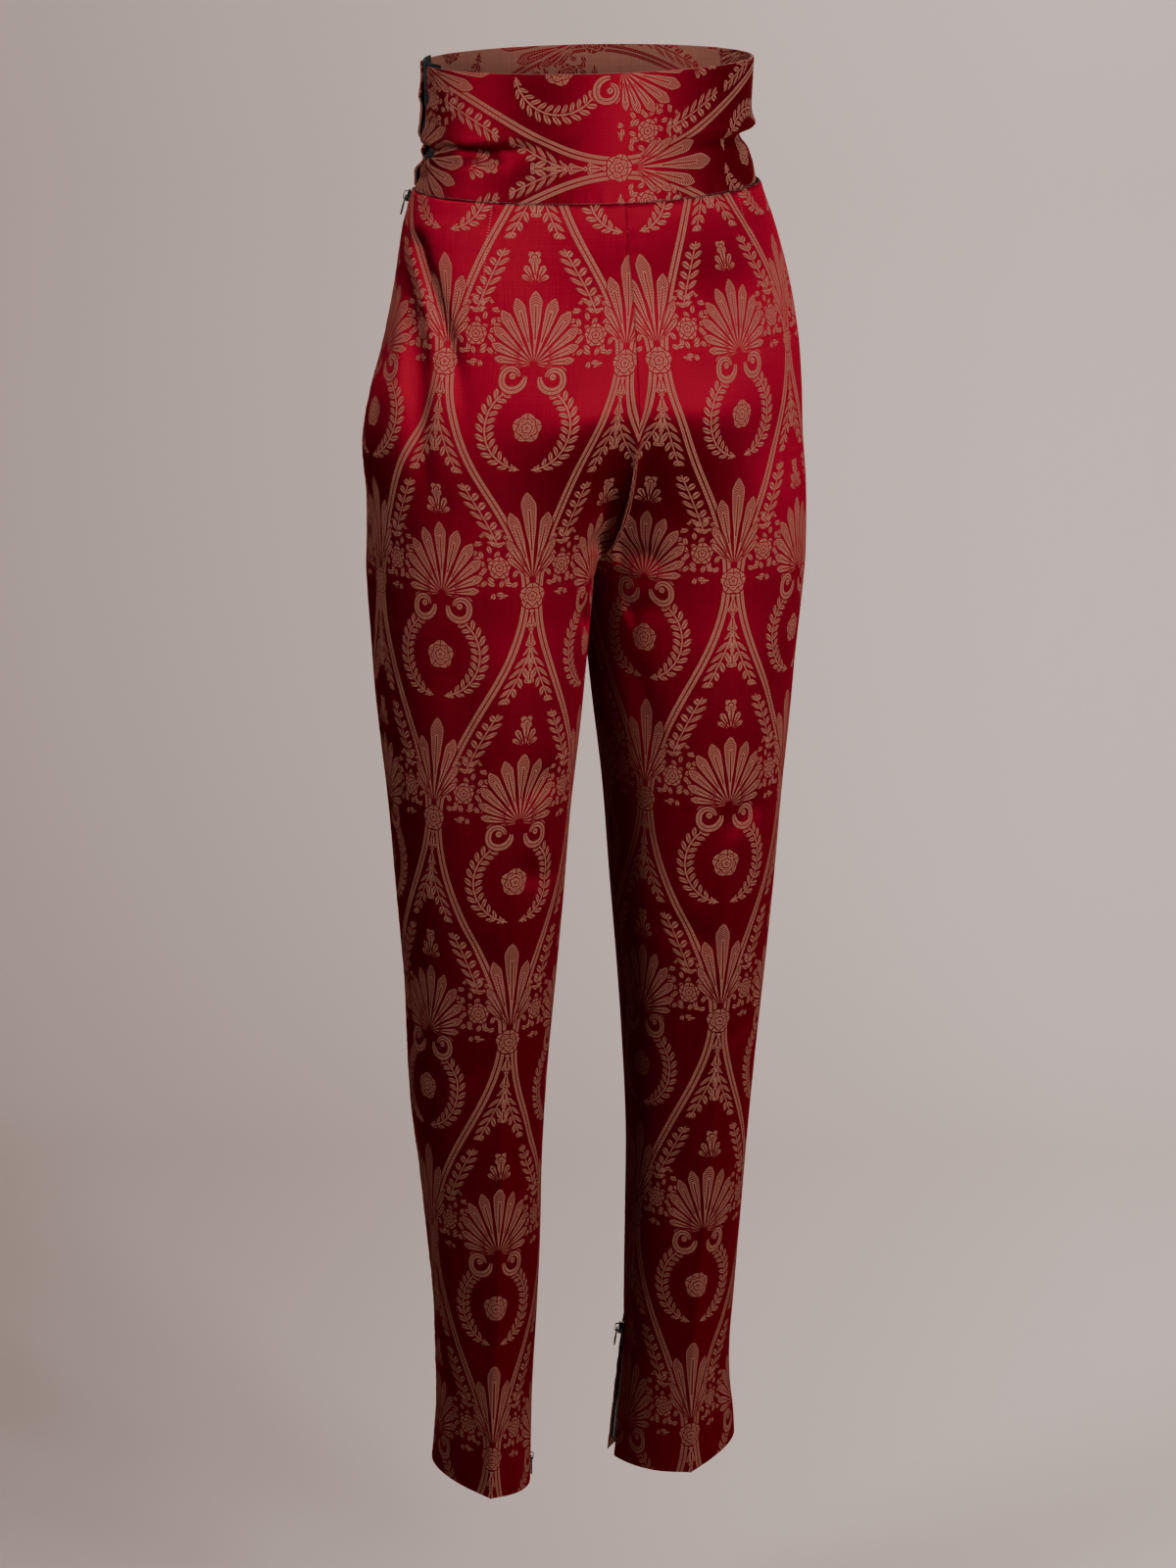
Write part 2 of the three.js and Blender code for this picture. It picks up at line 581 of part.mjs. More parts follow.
// Puts a slider and its pull on the surface at (r, v).
function addSlider(name, half, r, v) {
  const { normal, down } = frameAt(r, v, half);
  const up = down.clone().negate();
  const across = normal.clone().cross(up);
  const turn = new THREE.Quaternion().setFromRotationMatrix(
    new THREE.Matrix4().makeBasis(across, normal, up));
  const face = toVector(surface(r, v, half)).addScaledVector(normal, SLIDER.lift);
  const slider = add(`${name}_slider`, sliderGeometry(), metal);
  slider.position.copy(face);
  slider.quaternion.copy(turn);
  const pull = add(`${name}_pull`, pullGeometry(), metal);
  pull.position.copy(face).addScaledVector(normal, PIVOT_N);
  pull.quaternion.copy(turn);
}

// The clearance between a chain's end and its slider.
const pastSlider = SLIDER.tall / 2 + GAP;

// Side zip, closed: the slider is at the top, and the chain hangs below it.
const TORSO_V = (z) => WAIST_SEAM_Z - z;
const sideEnds = [TORSO_V(SIDE_ZIP.top), TORSO_V(SIDE_ZIP.bottom)];
const sideSliderV = TORSO_V(SIDE_ZIP.slider);
addTapePair(['side_zip_tape_back', 'side_zip_tape_front'], backLeft, frontLeft,
  sideEnds);
const SIDE_RISE_END = -70;         // the chain lies fully behind the cloth below this
addChain('side_zip_chain', backLeft, frontLeft,
  [...spread(sideSliderV + pastSlider, TORSO_V(SIDE_RISE_END), 6), sideEnds[1]]);
addSlider('side_zip', LEFT, sideLeft(sideSliderV), sideSliderV);

// Left ankle zip, closed: the slider is at the hem. Round the leg's inner side the
// front panel comes before the back panel.
const leftEnds = [LEG_V(LEFT_ANKLE_ZIP.top), LEG_V(LEFT_ANKLE_ZIP.bottom)];
const leftSliderV = LEG_V(LEFT_ANKLE_ZIP.slider);
addTapePair(['left_ankle_tape_front', 'left_ankle_tape_back'], frontLeft, backLeft,
  leftEnds);
const LEFT_RISE_TOP = -1010;       // and this one fully behind it above this
addChain('left_ankle_chain', frontLeft, backLeft,
  [leftEnds[0], ...spread(LEG_V(LEFT_RISE_TOP), leftSliderV - pastSlider, 5)]);
addSlider('left_ankle', LEFT, inseamLeft(leftSliderV), leftSliderV);

// Right ankle zip, open: the slider is at the top, and each tape shows past its panel.
const rightEnds = [LEG_V(RIGHT_ANKLE_ZIP.top), LEG_V(RIGHT_ANKLE_ZIP.bottom)];
const rightSliderV = LEG_V(RIGHT_ANKLE_ZIP.slider);
const TAPE_SHOWS = 3.2;
const TAPE_HIDDEN = 9;
const openNear = (v) => -Math.min(TAPE_SHOWS, ankleRightHalf(v) - HALF_GAP);
const openFar = () => TAPE_HIDDEN;
addTape('right_ankle_tape_back', backRight, true, rightEnds, openNear, openFar);
addTape('right_ankle_tape_front', frontRight, false, rightEnds, openNear, openFar);
addSlider('right_ankle', RIGHT, inseamRight(rightSliderV), rightSliderV);

export default trousers;
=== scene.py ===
# %% [markdown]
# # High-waisted jacquard trousers
#
# This file finishes a pair of tapered trousers whose solids come from the CAD frame:
# two back panels, two front panels, a high waistband, a side closure and two ankle
# zips. The CAD solids are faceted and plain. Here each cloth piece is built again as a
# smooth thin wall on the same form, with its folds, pressed creases and darts, and
# the damask is woven into its material.
#
# Lengths are worked out in millimetres and put into the meshes in metres. +Z is up,
# the wearer faces -Y, and the wearer's left is +X.

import bpy
import numpy as np
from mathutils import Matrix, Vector


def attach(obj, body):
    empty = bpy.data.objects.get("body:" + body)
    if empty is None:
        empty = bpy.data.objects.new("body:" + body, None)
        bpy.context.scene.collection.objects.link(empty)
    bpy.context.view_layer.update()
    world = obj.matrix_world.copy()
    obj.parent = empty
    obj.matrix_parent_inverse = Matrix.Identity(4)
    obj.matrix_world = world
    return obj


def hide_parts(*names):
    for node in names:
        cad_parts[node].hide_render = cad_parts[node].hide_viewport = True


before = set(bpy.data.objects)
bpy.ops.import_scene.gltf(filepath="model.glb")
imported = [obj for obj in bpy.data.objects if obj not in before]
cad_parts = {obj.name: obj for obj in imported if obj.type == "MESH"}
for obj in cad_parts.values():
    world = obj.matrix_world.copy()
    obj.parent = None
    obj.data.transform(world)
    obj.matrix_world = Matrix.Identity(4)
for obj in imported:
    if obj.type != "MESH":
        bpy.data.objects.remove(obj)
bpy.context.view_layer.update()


# %% [markdown]
# ## Tables and curves
#
# The figure under the cloth is known at a few heights only: how wide the waist is, how
# deep the seat, how far the knee turns out. A short table holds those sizes, and a
# smooth curve through each column fills in every height between.

# %% Tables with named columns
def table(names, *rows):
    """Rows of numbers as arrays, one for each named column."""
    return {name: np.array(column, float) for name, column in zip(names.split(), zip(*rows))}


def column_at(sizes, name, z):
    """Value of a column at heights z: a cubic Hermite curve whose slope at each row is
    the slope between its two neighbours. Rows go down in z."""
    heights, values = sizes["z"], sizes[name]
    before = np.maximum(np.arange(len(heights)) - 1, 0)
    after = np.minimum(np.arange(len(heights)) + 1, len(heights) - 1)
    slopes = (values[after] - values[before]) / (heights[after] - heights[before])
    i = np.clip(np.searchsorted(-heights, -z, side="right") - 1, 0, len(heights) - 2)
    run = heights[i + 1] - heights[i]
    t = np.clip((z - heights[i]) / run, 0, 1)
    s = 1 - t
    return (values[i] * (1 + 2 * t) * s * s + values[i + 1] * (3 - 2 * t) * t * t
            + run * (slopes[i] * t * s * s - slopes[i + 1] * t * t * s))


def smooth(t):
    """An S-curve: 0 below 0, 1 above 1, and level at both ends."""
    t = np.clip(t, 0, 1)
    return t * t * (3 - 2 * t)


def mix(a, b, t):
    """The value a share t of the way from a to b."""
    return a + (b - a) * t


TORSO = table("z side back front lobe",
    (66, 131.5, 97, -88, 0), (40, 130.3, 95.5, -87, 0), (12, 131.6, 94, -86, 0),
    (0, 130, 93, -86, 0), (-30, 135, 94, -90, 0), (-60, 144.3, 99.5, -95, 1),
    (-100, 153, 110, -101, 4), (-140, 160.8, 117, -107, 7), (-182, 168.5, 123, -111, 9),
    (-220, 172.3, 123, -112, 10), (-260, 172.3, 123, -112, 9), (-320, 170.5, 123, -112, 6))

LEAN = table("z by", (66, 5.2), (12, 4.2), (-30, 3.4), (-100, 6.4), (-145, 5.6),
    (-182, 1.6), (-220, -0.4), (-262, 3.6), (-310, 4.4), (-400, 0.4), (-460, 0))

LEG = table("z x y wide deep crisp left right",
    (-320, 85.4, 0, 85.0, 104, 0.0, -3, -3), (-345, 85.7, 2, 83.0, 102, 0.1, -3, -3),
    (-380, 86.0, 5, 79.5, 100, 0.2, -3, -3), (-430, 86.5, 7, 75.0, 97, 0.3, -2, -3),
    (-500, 87.0, 8, 67.5, 92, 0.4, 0, -3), (-570, 87.0, 8, 62.5, 87, 0.5, 2, -4),
    (-640, 87.0, 7, 56.5, 82, 0.6, 2, -4), (-710, 86.7, 5, 51.0, 77, 0.7, 4, -5),
    (-780, 85.4, 4, 46.5, 74, 0.8, 7, -6), (-850, 83.0, 1, 44.0, 72, 0.9, 10, -8),
    (-910, 80.7, -4, 41.0, 70.5, 1.0, 12, -9), (-980, 79.0, -10, 37.5, 69.5, 1.0, 13, -9),
    (-1060, 78.4, -14, 36.5, 69.0, 1.0, 14, -9))

OUTER_SIDE = table("z left right", (-640, 0, 0), (-740, 4.5, 0), (-800, 2, 0.5),
    (-860, -0.5, 2), (-906, -1.5, 4.7), (-955, 0, 6.8), (-1000, 1, 10.8),
    (-1030, 3, 15), (-1060, 6, 17.5))

SEAMS = table("z side inner", (66, 0.573, 0), (-30, 0.573, 0), (-320, 0.55, 0),
    (-600, 0.535, 0), (-941, 0.525, 8), (-1060, 0.522, 16))

TOP_Z, WAIST_SEAM_Z, HIP_Z, CROTCH_Z, SLIT_TOP_Z, HEM_Z = 63.5, -30, -182, -320, -941, -1050
CROTCH_RUN = 200
HIP_V = WAIST_SEAM_Z - HIP_Z
CROTCH_V = HIP_V + CROTCH_RUN
TOP_V = WAIST_SEAM_Z - TOP_Z
GAP = 0.04                                  # between pieces that are sewn together, in mm
print("heights from", TOP_Z, "to", HEM_Z, "mm, with", len(TORSO["z"]) + len(LEG["z"]), "sections")


# %% [markdown]
# ## One surface for the whole garment
#
# A tailor measures trousers by going round and going down. A point here has the same
# two numbers. r goes round the body: 0 is centre back, 0.5 the left side, 1 centre
# front. v goes down from the waistband's seam. Below the hips the ring closes into two
# legs, so every panel, tape and stitch can be laid on one formula.

# %% The garment's surface
LEFT, RIGHT = 1, -1
SEAM_DIP, HEM_TILT = 3, 9
LOBE_X, LOBE_SPREAD = 60, 38


def level_at(v):
    """Height and crotch angle for a drop v. The angle goes from 0 at the hips to a
    quarter turn at the crotch, and the height follows its sine."""
    phi = np.clip((v - HIP_V) / CROTCH_RUN, 0, 1) * np.pi / 2
    z = np.where(v <= HIP_V, WAIST_SEAM_Z - v,
                 np.where(v >= CROTCH_V, CROTCH_Z - (v - CROTCH_V),
                          mix(HIP_Z, CROTCH_Z, np.sin(phi))))
    return z, phi


def v_on_leg(z):
    """The drop v that belongs to a height z below the crotch."""
    return CROTCH_V + CROTCH_Z - z


def torso_point(z, s):
    """Half an ellipse from centre back (s = 0) to centre front (s = 1), plus a soft
    bulge where the seat is fullest."""
    angle = np.pi * s - np.pi / 12 * np.sin(2 * np.pi * s)
    back, front = column_at(TORSO, "back", z), column_at(TORSO, "front", z)
    x = column_at(TORSO, "side", z) * np.sin(angle)
    seat = column_at(TORSO, "lobe", z) * np.exp(-((x - LOBE_X) / LOBE_SPREAD) ** 2)
    y = (back + front) / 2 + (back - front) / 2 * np.cos(angle)
    return x, y + seat * np.maximum(np.cos(angle), 0)


def leg_point(z, s, side):
    """Between an ellipse and a lens of two arcs that meet at the pressed creases, then
    turned about the leg's own centre."""
    wide, deep = column_at(LEG, "wide", z), column_at(LEG, "deep", z)
    angle = 2 * np.pi * s - np.pi / 2
    turned = np.arctan2(np.sin(angle), np.cos(angle))
    radius = (wide ** 2 + deep ** 2) / (2 * wide)
    half = np.arctan2(deep, radius - wide)
    along = half * (1 - 2 * np.abs(turned) / np.pi)
    crisp = column_at(LEG, "crisp", z)
    x = mix(wide * np.sin(angle),
            np.sign(turned) * radius * (np.cos(along) - np.cos(half)), crisp)
    y = mix(deep * np.cos(angle), radius * np.sin(along), crisp)
    turn = np.radians(column_at(LEG, side, z))
    return (column_at(LEG, "x", z) + x * np.cos(turn) + y * np.sin(turn),
            column_at(LEG, "y", z) - x * np.sin(turn) + y * np.cos(turn))


def splay(z, s):
    """How far the right ankle's open slit pushes its two edges inwards."""
    opened = np.maximum(SLIT_TOP_Z - z, 0) / (SLIT_TOP_Z - HEM_Z)
    return opened * (8 * np.clip(1 - s / 0.14, 0, 1.2) ** 2
                     + 25 * np.clip(1 - (1 - s) / 0.22, 0, 1) ** 2)


def base_surface(r, v, half):
    """Points (x, y, z) in mm for arrays r and v. half is LEFT or RIGHT, or an array."""
    r, v = np.broadcast_arrays(np.asarray(r, float), np.asarray(v, float))
    is_left = np.broadcast_to(half, r.shape) == LEFT
    s = np.where(is_left, r, np.where(r < 0.5, -r, 2 - r))
    z, phi = level_at(v)
    torso = torso_point(z, s)
    thigh = np.minimum(z, CROTCH_Z)
    legs = [leg_point(thigh, s, side) for side in ("left", "right")]
    leg = [np.where(is_left, a, b) for a, b in zip(*legs)]
    drop = (HIP_Z - z) / (HIP_Z - CROTCH_Z)
    weight = mix(smooth(drop), 1 - np.cos(phi), np.abs(2 * s - 1) ** 7)
    weight = np.where(z <= CROTCH_Z, 1, np.where(phi > 0, weight, 0))
    x, y = (mix(a, b, weight) for a, b in zip(torso, leg))
    lean = column_at(LEAN, "by", z) * np.sin(np.pi * np.clip(s, 0, 1))
    wobble = np.where(is_left, column_at(OUTER_SIDE, "left", z), column_at(OUTER_SIDE, "right", z))
    wobble = np.where(z < OUTER_SIDE["z"][0], wobble, 0)
    x = x + np.where(is_left, -lean, lean) + wobble * np.exp(-((s - 0.5) / 0.2) ** 2)
    x = x - np.where(is_left, 0, splay(z, s))
    z = z - SEAM_DIP * np.cos(np.pi * s) * smooth(1 - np.abs(v) / 80)
    tilt = smooth((SLIT_TOP_Z - z) / (SLIT_TOP_Z - HEM_Z))
    z = z - HEM_TILT * np.cos(2 * np.pi * s) * tilt
    return np.stack([np.where(is_left, x, -x), y, z], -1)


def side_seam(v):
    """r of the left side seam. The right one is its mirror, 2 - r."""
    return column_at(SEAMS, "side", level_at(v)[0])


print("left side seam at the hem:", np.round(base_surface(side_seam(1079.0), 1079.0, LEFT), 1), "mm")


# %% [markdown]
# ## Cutting the panels
#
# Each leg is cut as a back and a front. A panel runs from one seam to the next, and
# the pressed crease down its middle follows the grain of the cloth. Columns of the
# grid are placed so that one lies exactly on the crease, and a few lie very close to
# each raw edge, where the wall is rounded over like a turned edge.

# %% Seam lines and the openings at the zips
CLOTH, BAND = 1.5, 2.2
SLIDER_ROOM = 10.6                          # the gap left in the cloth round a slider, in mm
FLARE_TOP_Z, FLARE = -956, 8                # below this the open slit widens by this much


def side_opening(z):
    """The gap at the side zip: full at its slider, closed 24 mm lower."""
    return SLIDER_ROOM * smooth((z + 68) / 24)


def left_ankle_opening(z):
    """The gap at the closed left ankle zip: closed above, full at its slider."""
    return SLIDER_ROOM * smooth((-1008 - z) / 24)


def right_ankle_opening(z):
    """The gap at the open right ankle zip: full at its slider, then wider to the hem."""
    flare = np.maximum((FLARE_TOP_Z - z) / (FLARE_TOP_Z - HEM_Z), 0)
    return SLIDER_ROOM * smooth((-936 - z) / 9) + FLARE * flare


def speed(r, v, half):
    """Millimetres of cloth for each unit of r."""
    step = 0.002
    chord = base_surface(r + step, v, half) - base_surface(r - step, v, half)
    return np.linalg.norm(chord, axis=-1) / (2 * step)


def inseam(v, half):
    """Where a leg's inner seam lies: forwards of r = 1 by a few mm at the ankle."""
    shift = np.where(v < CROTCH_V, 0, column_at(SEAMS, "inner", level_at(v)[0]))
    return 1 - half * shift / speed(1 - half * 0.03, v, half)


def moved(line, millimetres, v, half):
    """A line of r shifted along the cloth by a number of mm."""
    return line + millimetres / speed(line, v, half)


def panel_edges(name, v):
    """The panel's two upright edges as r at each v, from the lower r to the higher."""
    z = level_at(v)[0]
    on_leg = v > CROTCH_V
    half_gap = GAP / 2
    left_ankle = np.where(on_leg, left_ankle_opening(z) / 2, 0) + half_gap
    right_ankle = np.where(on_leg, right_ankle_opening(z) / 2, 0) + half_gap
    left_side, right_side = side_seam(v), 2 - side_seam(v)
    left_half = side_opening(z) / 2 + half_gap
    if name == "back_left":
        return moved(inseam(v, LEFT) - 1, left_ankle, v, LEFT), moved(left_side, -left_half, v, LEFT)
    if name == "front_left":
        return moved(left_side, left_half, v, LEFT), moved(inseam(v, LEFT), -left_ankle, v, LEFT)
    if name == "front_right":
        return moved(inseam(v, RIGHT), right_ankle, v, RIGHT), moved(right_side, -half_gap, v, RIGHT)
    return (moved(right_side - 2, half_gap, v, RIGHT),
            moved(inseam(v, RIGHT) - 1, -right_ankle, v, RIGHT))


# %% The grid of a cloth piece
FINE = np.array([0, 0.15, 0.45, 1.0, 2.0, 3.5])     # mm from an edge


def with_fine_ends(start, end, step):
    """Positions from start to end about one step apart, and close together at the ends."""
    count = max(int(round((end - start - 2 * FINE[-1]) / step)), 2)
    middle = np.linspace(start + FINE[-1], end - FINE[-1], count + 1)
    return np.concatenate([start + FINE[:-1], middle, end - FINE[-2::-1]])


def panel_rows(step):
    """Drops v of a panel's rows. Between hip and crotch v runs faster than the cloth."""
    return with_fine_ends(GAP / 2, v_on_leg(HEM_Z), step)


def panel_grid(name, half, crease, rows, across):
    """r and v of every point: fine steps at both edges, even steps to the crease."""
    lower, upper = panel_edges(name, rows)
    offsets = FINE[:, None]
    low = lower + offsets / speed(lower, rows, half)
    high = upper - offsets[::-1] / speed(upper, rows, half)
    share = np.linspace(0, 1, across + 1)[1:, None]
    to_crease = low[-1] + (crease - low[-1]) * share
    from_crease = crease + (high[0] - crease) * share[:-1]
    r = np.concatenate([low, to_crease, from_crease, high]).T
    return r, np.broadcast_to(rows[:, None], r.shape), len(FINE) - 1 + across


def flat_cloth(points, crease_column):
    """Where each point lay before sewing, in mm: distance from the crease along its
    row, and the drop along the crease itself."""
    steps = np.linalg.norm(np.diff(points, axis=1), axis=-1)
    along = np.concatenate([np.zeros((len(points), 1)), np.cumsum(steps, 1)], 1)
    along = along - along[:, crease_column:crease_column + 1]
    crease = points[:, crease_column]
    down = np.concatenate([[0], np.cumsum(np.linalg.norm(np.diff(crease, axis=0), axis=-1))])
    return along, np.broadcast_to(down[:, None], along.shape)


def outward(points):
    """Unit normals of a grid whose rows go down and whose columns go round."""
    down, across = np.gradient(points, axis=0), np.gradient(points, axis=1)
    normal = np.cross(across, down)
    return normal / np.maximum(np.linalg.norm(normal, axis=-1, keepdims=True), 1e-9)


PANEL_STEP, COLUMNS_TO_CREASE = 3.2, 50     # mm between rows, and columns to the crease
PANELS = {"back_left": (LEFT, 0.25), "back_right": (RIGHT, -0.25),
          "front_left": (LEFT, 0.75), "front_right": (RIGHT, 1.25)}
cut = {}
for name, (half, crease) in PANELS.items():
    r, v, crease_column = panel_grid(name, half, crease, panel_rows(PANEL_STEP), COLUMNS_TO_CREASE)
    points = base_surface(r, v, half)
    along, down = flat_cloth(points, crease_column)
    cut[name] = {"half": half, "r": r, "v": v, "points": points, "along": along, "down": down}
    print(f"{name}: {r.shape[0]} by {r.shape[1]} points, flat {np.ptp(along):.0f} by {down.max():.0f} mm")


# %% [markdown]
# ## Folds
#
# Worn cloth pulls towards whatever holds it: from the side closure across the hip,
# round the bend at the waist, and down from the crotch. Each fold is one row of a
# table, drawn on the flat cloth like a chalk line with a start, an end and a bend. It
# lifts or sinks the surface along that line, so no two need be alike.

# %% Folds drawn on the flat cloth
FOLD_COLUMNS = "x0 y0 x1 y1 bend width trough tuck fade_in fade_out"


def folds(lines, x, y):
    """Height in mm of all the folds of a piece at flat positions (x, y). Beside a line
    from (x0, y0) to (x1, y1), bowed by bend, the surface sinks by trough times a bell
    curve of the distance, and tuck adds a ridge on one side and a hollow on the other."""
    height = np.zeros(np.broadcast(x, y).shape)
    for k in range(len(lines["x0"])):
        x0, y0, x1, y1, bend, width, trough, tuck, fade_in, fade_out = (
            lines[name][k] for name in FOLD_COLUMNS.split())
        length = np.hypot(x1 - x0, y1 - y0)
        dx, dy = (x1 - x0) / length, (y1 - y0) / length
        t = ((x - x0) * dx + (y - y0) * dy) / length
        away = (y - y0) * dx - (x - x0) * dy - bend * 4 * t * (1 - t)
        bell = np.exp(-(away / width) ** 2)
        fade = smooth(t / max(fade_in, 0.01) + (fade_in == 0)) * smooth((1 - t) / max(fade_out, 0.01))
        fade = fade * np.exp(-(np.minimum(t, 0) * length / width) ** 2)
        height += fade * bell * (-trough - tuck * 1.6 * away / width)
    return height


# Across is towards the wearer's side from the crease, down is from the waist seam.
BACK_LEFT_FOLDS = table(FOLD_COLUMNS,
    (117, 40, 70, 258, 5, 11, 6.6, -1.5, 0.3, 0.6), (106, 24, 44, 178, 4, 7.5, 4.6, 1.3, 0.1, 0.5),
    (-84, 70, -94, 262, 0, 19, 5.6, 0, 0.5, 0.4), (-96, 250, -62, 205, 2, 7, 2.2, 0, 0.1, 0.6),
    (-97, 268, -48, 262, -5, 9, 3, 0.8, 0.1, 0.6), (64, 300, 40, 520, 6, 16, 3, 0, 0.4, 0.5),
    (-88, 330, -46, 300, 3, 9, 2.4, 0.7, 0.1, 0.6), (-44, 430, 20, 455, -4, 13, 2, 0.8, 0.3, 0.4),
    (-50, 520, 8, 500, 5, 12, 1.8, -0.7, 0.3, 0.4), (52, 560, -6, 610, 5, 14, 2, 0.7, 0.3, 0.4),
    (46, 690, 4, 640, -4, 12, 1.6, 0.5, 0.3, 0.5), (-38, 700, -8, 800, 3, 10, 1.6, 0, 0.4, 0.4),
    (40, 820, 8, 905, -3, 11, 1.8, 0, 0.4, 0.4), (34, 930, 10, 1030, 3, 10, 1.4, 0, 0.4, 0.2))

BACK_RIGHT_FOLDS = table(FOLD_COLUMNS,
    (-84, 66, -94, 258, 0, 19, 5.6, 0, 0.5, 0.4), (88, 40, 78, 210, 3, 10, 1.9, 0.5, 0.2, 0.5),
    (-97, 256, -66, 216, 2, 7, 2.4, 0, 0.1, 0.6), (-98, 275, -40, 283, -6, 11, 4.1, 1.4, 0.1, 0.5),
    (-90, 322, -44, 300, 3, 10, 3, 0.8, 0.1, 0.6), (-84, 350, -56, 470, -4, 15, 3.2, 0, 0.2, 0.5),
    (60, 320, 34, 540, 5, 16, 2.4, 0, 0.4, 0.5), (46, 470, -14, 500, 5, 13, 1.9, 0.7, 0.3, 0.4),
    (-50, 560, 10, 590, -4, 12, 1.8, 0.7, 0.3, 0.4), (42, 640, 2, 670, 4, 12, 1.5, -0.5, 0.3, 0.4),
    (-36, 720, -10, 830, 3, 10, 1.6, 0, 0.4, 0.4), (36, 800, 6, 880, 3, 11, 1.9, 0, 0.4, 0.4),
    (30, 900, 34, 1030, 2, 9, 1.9, 0, 0.3, 0.2))

FRONT_FOLDS = table(FOLD_COLUMNS,
    (-70, 262, 20, 236, -7, 9, 3.2, 1.2, 0.05, 0.6), (-74, 282, 10, 292, 6, 10, 3.8, 1.2, 0.05, 0.6),
    (-72, 246, -20, 196, 5, 8, 2.2, 0.7, 0.05, 0.6), (-68, 312, -6, 348, -6, 11, 2.7, 0.8, 0.1, 0.5),
    (70, 20, 44, 150, 5, 10, 2.2, 0.5, 0.1, 0.6), (58, 420, -20, 470, -6, 13, 2.2, 0.7, 0.3, 0.4),
    (-48, 540, 30, 520, 6, 12, 2, -0.7, 0.3, 0.4), (50, 600, -10, 645, 5, 13, 1.8, 0.5, 0.3, 0.4),
    (-40, 720, 10, 760, -4, 11, 1.6, 0.5, 0.3, 0.4), (36, 850, -4, 900, 4, 10, 1.5, 0, 0.3, 0.4))

# On the waistband: along is from centre back towards the wearer's left, down as before.
# At the right side seam both pieces have the same three folds, so they meet.
BAND_BACK_FOLDS = table(FOLD_COLUMNS,
    (-206, -38, 4, -47, 3, 6, 5.5, 7.5, 0, 0.95), (-206, -27, -70, -32, 0, 10, 3.5, 0, 0, 0.8),
    (-206, -64, -120, -57, 3, 9, 2.2, 0, 0, 0.7), (188, -31, 30, -49, -3, 6.5, 6.5, -6.5, 0, 0.6),
    (158, -36, 80, -21, 4, 4.5, 4.9, 1.6, 0.2, 0.4), (150, -30, 100, -33, 2, 7, -1.9, 0, 0.3, 0.5),
    (188, -9, 112, -13, 2, 5, 1.9, 0, 0, 0.7), (188, -70, 128, -60, 4, 8, 2.2, -0.5, 0, 0.7),
    (188, -50, 132, -52, 2, 6, 1.9, -0.7, 0, 0.7), (-26, -40, -25, -30, 0, 1.6, -0.7, 0, 0.2, 0.6))

BAND_FRONT_FOLDS = table(FOLD_COLUMNS,
    (0, -33, 120, -46, 3, 7, 4.1, 2.4, 0, 0.7), (0, -22, 84, -16, 4, 6, 3, 1.1, 0, 0.7),
    (0, -62, 60, -56, 3, 8, 1.9, 0.5, 0, 0.7), (292, -38, 186, -46, -3, 6, 5.5, -7.5, 0, 0.8),
    (292, -27, 206, -33, 2, 10, 3.5, 0, 0, 0.8), (292, -64, 226, -58, 3, 9, 2.2, 0, 0, 0.5))


# %% Seams, darts and creases
def noise(x, seed, size):
    """Soft even noise between -1 and 1 along one coordinate: four sine waves whose
    lengths and starts come from the seed."""
    pick = np.random.default_rng(seed)
    waves = pick.uniform(0.6, 2.4, 4) / size
    starts = pick.uniform(0, 2 * np.pi, 4)
    return sum(np.sin(2 * np.pi * x * w + s) for w, s in zip(waves, starts)) / 4


def edge_distance(points):
    """Distance in mm along the cloth to each of the four edges: left, right, top, bottom."""
    across = np.linalg.norm(np.diff(points, axis=1), axis=-1)
    downward = np.linalg.norm(np.diff(points, axis=0), axis=-1)
    left = np.concatenate([np.zeros((len(points), 1)), np.cumsum(across, 1)], 1)
    top = np.concatenate([np.zeros((1, points.shape[1])), np.cumsum(downward, 0)], 0)
    return left, left[:, -1:] - left, top, top[-1:] - top


def seam_roll(distance, along_seam, seed):
    """Cloth turns in over the last 2 mm before a seam, and puckers a little beside it."""
    pucker = 0.35 * noise(along_seam, seed, 26) + 0.2 * noise(along_seam, seed + 1, 9)
    return -0.45 * np.exp(-(distance / 1.6) ** 2) + pucker * np.exp(-(distance / 9) ** 2)


DART_ACROSS, DART_DEEP = 34, 112


def dart(across, down):
    """A dart's seam sinks along a line that ends in a point, with a small puff below."""
    share = 1 - smooth(down / DART_DEEP)
    line = -0.7 * np.exp(-((across - DART_ACROSS) / 1.3) ** 2) * np.minimum(share * 3, 1)
    puff = 0.8 * np.exp(-((across - DART_ACROSS) / 14) ** 2 - ((down - DART_DEEP - 8) / 20) ** 2)
    return line + puff


def pressed(along, z):
    """The crease stands up as a soft ridge, sharper down the leg than on the thigh."""
    share = smooth((CROTCH_Z + 40 - z) / 160)
    return share * (0.9 * np.exp(-np.abs(along) / 2.2) + 0.5 * np.exp(-(along / 9) ** 2))


# %% [markdown]
# ## Cloth as a wall
#
# A single sheet of faces looks like paper, so every piece gets its real thickness. The
# outer face is moved in along its own normals to make the inner face, and both are
# rounded into each other at the edges.

# %% Thin closed walls
def rounding(distance, thickness):
    """How far a face sinks near an edge so that the edge is a half circle."""
    half = min(thickness / 2, 0.6)
    inside = np.clip(half - distance, 0, half * 0.97)
    return half - np.sqrt(half ** 2 - inside ** 2)


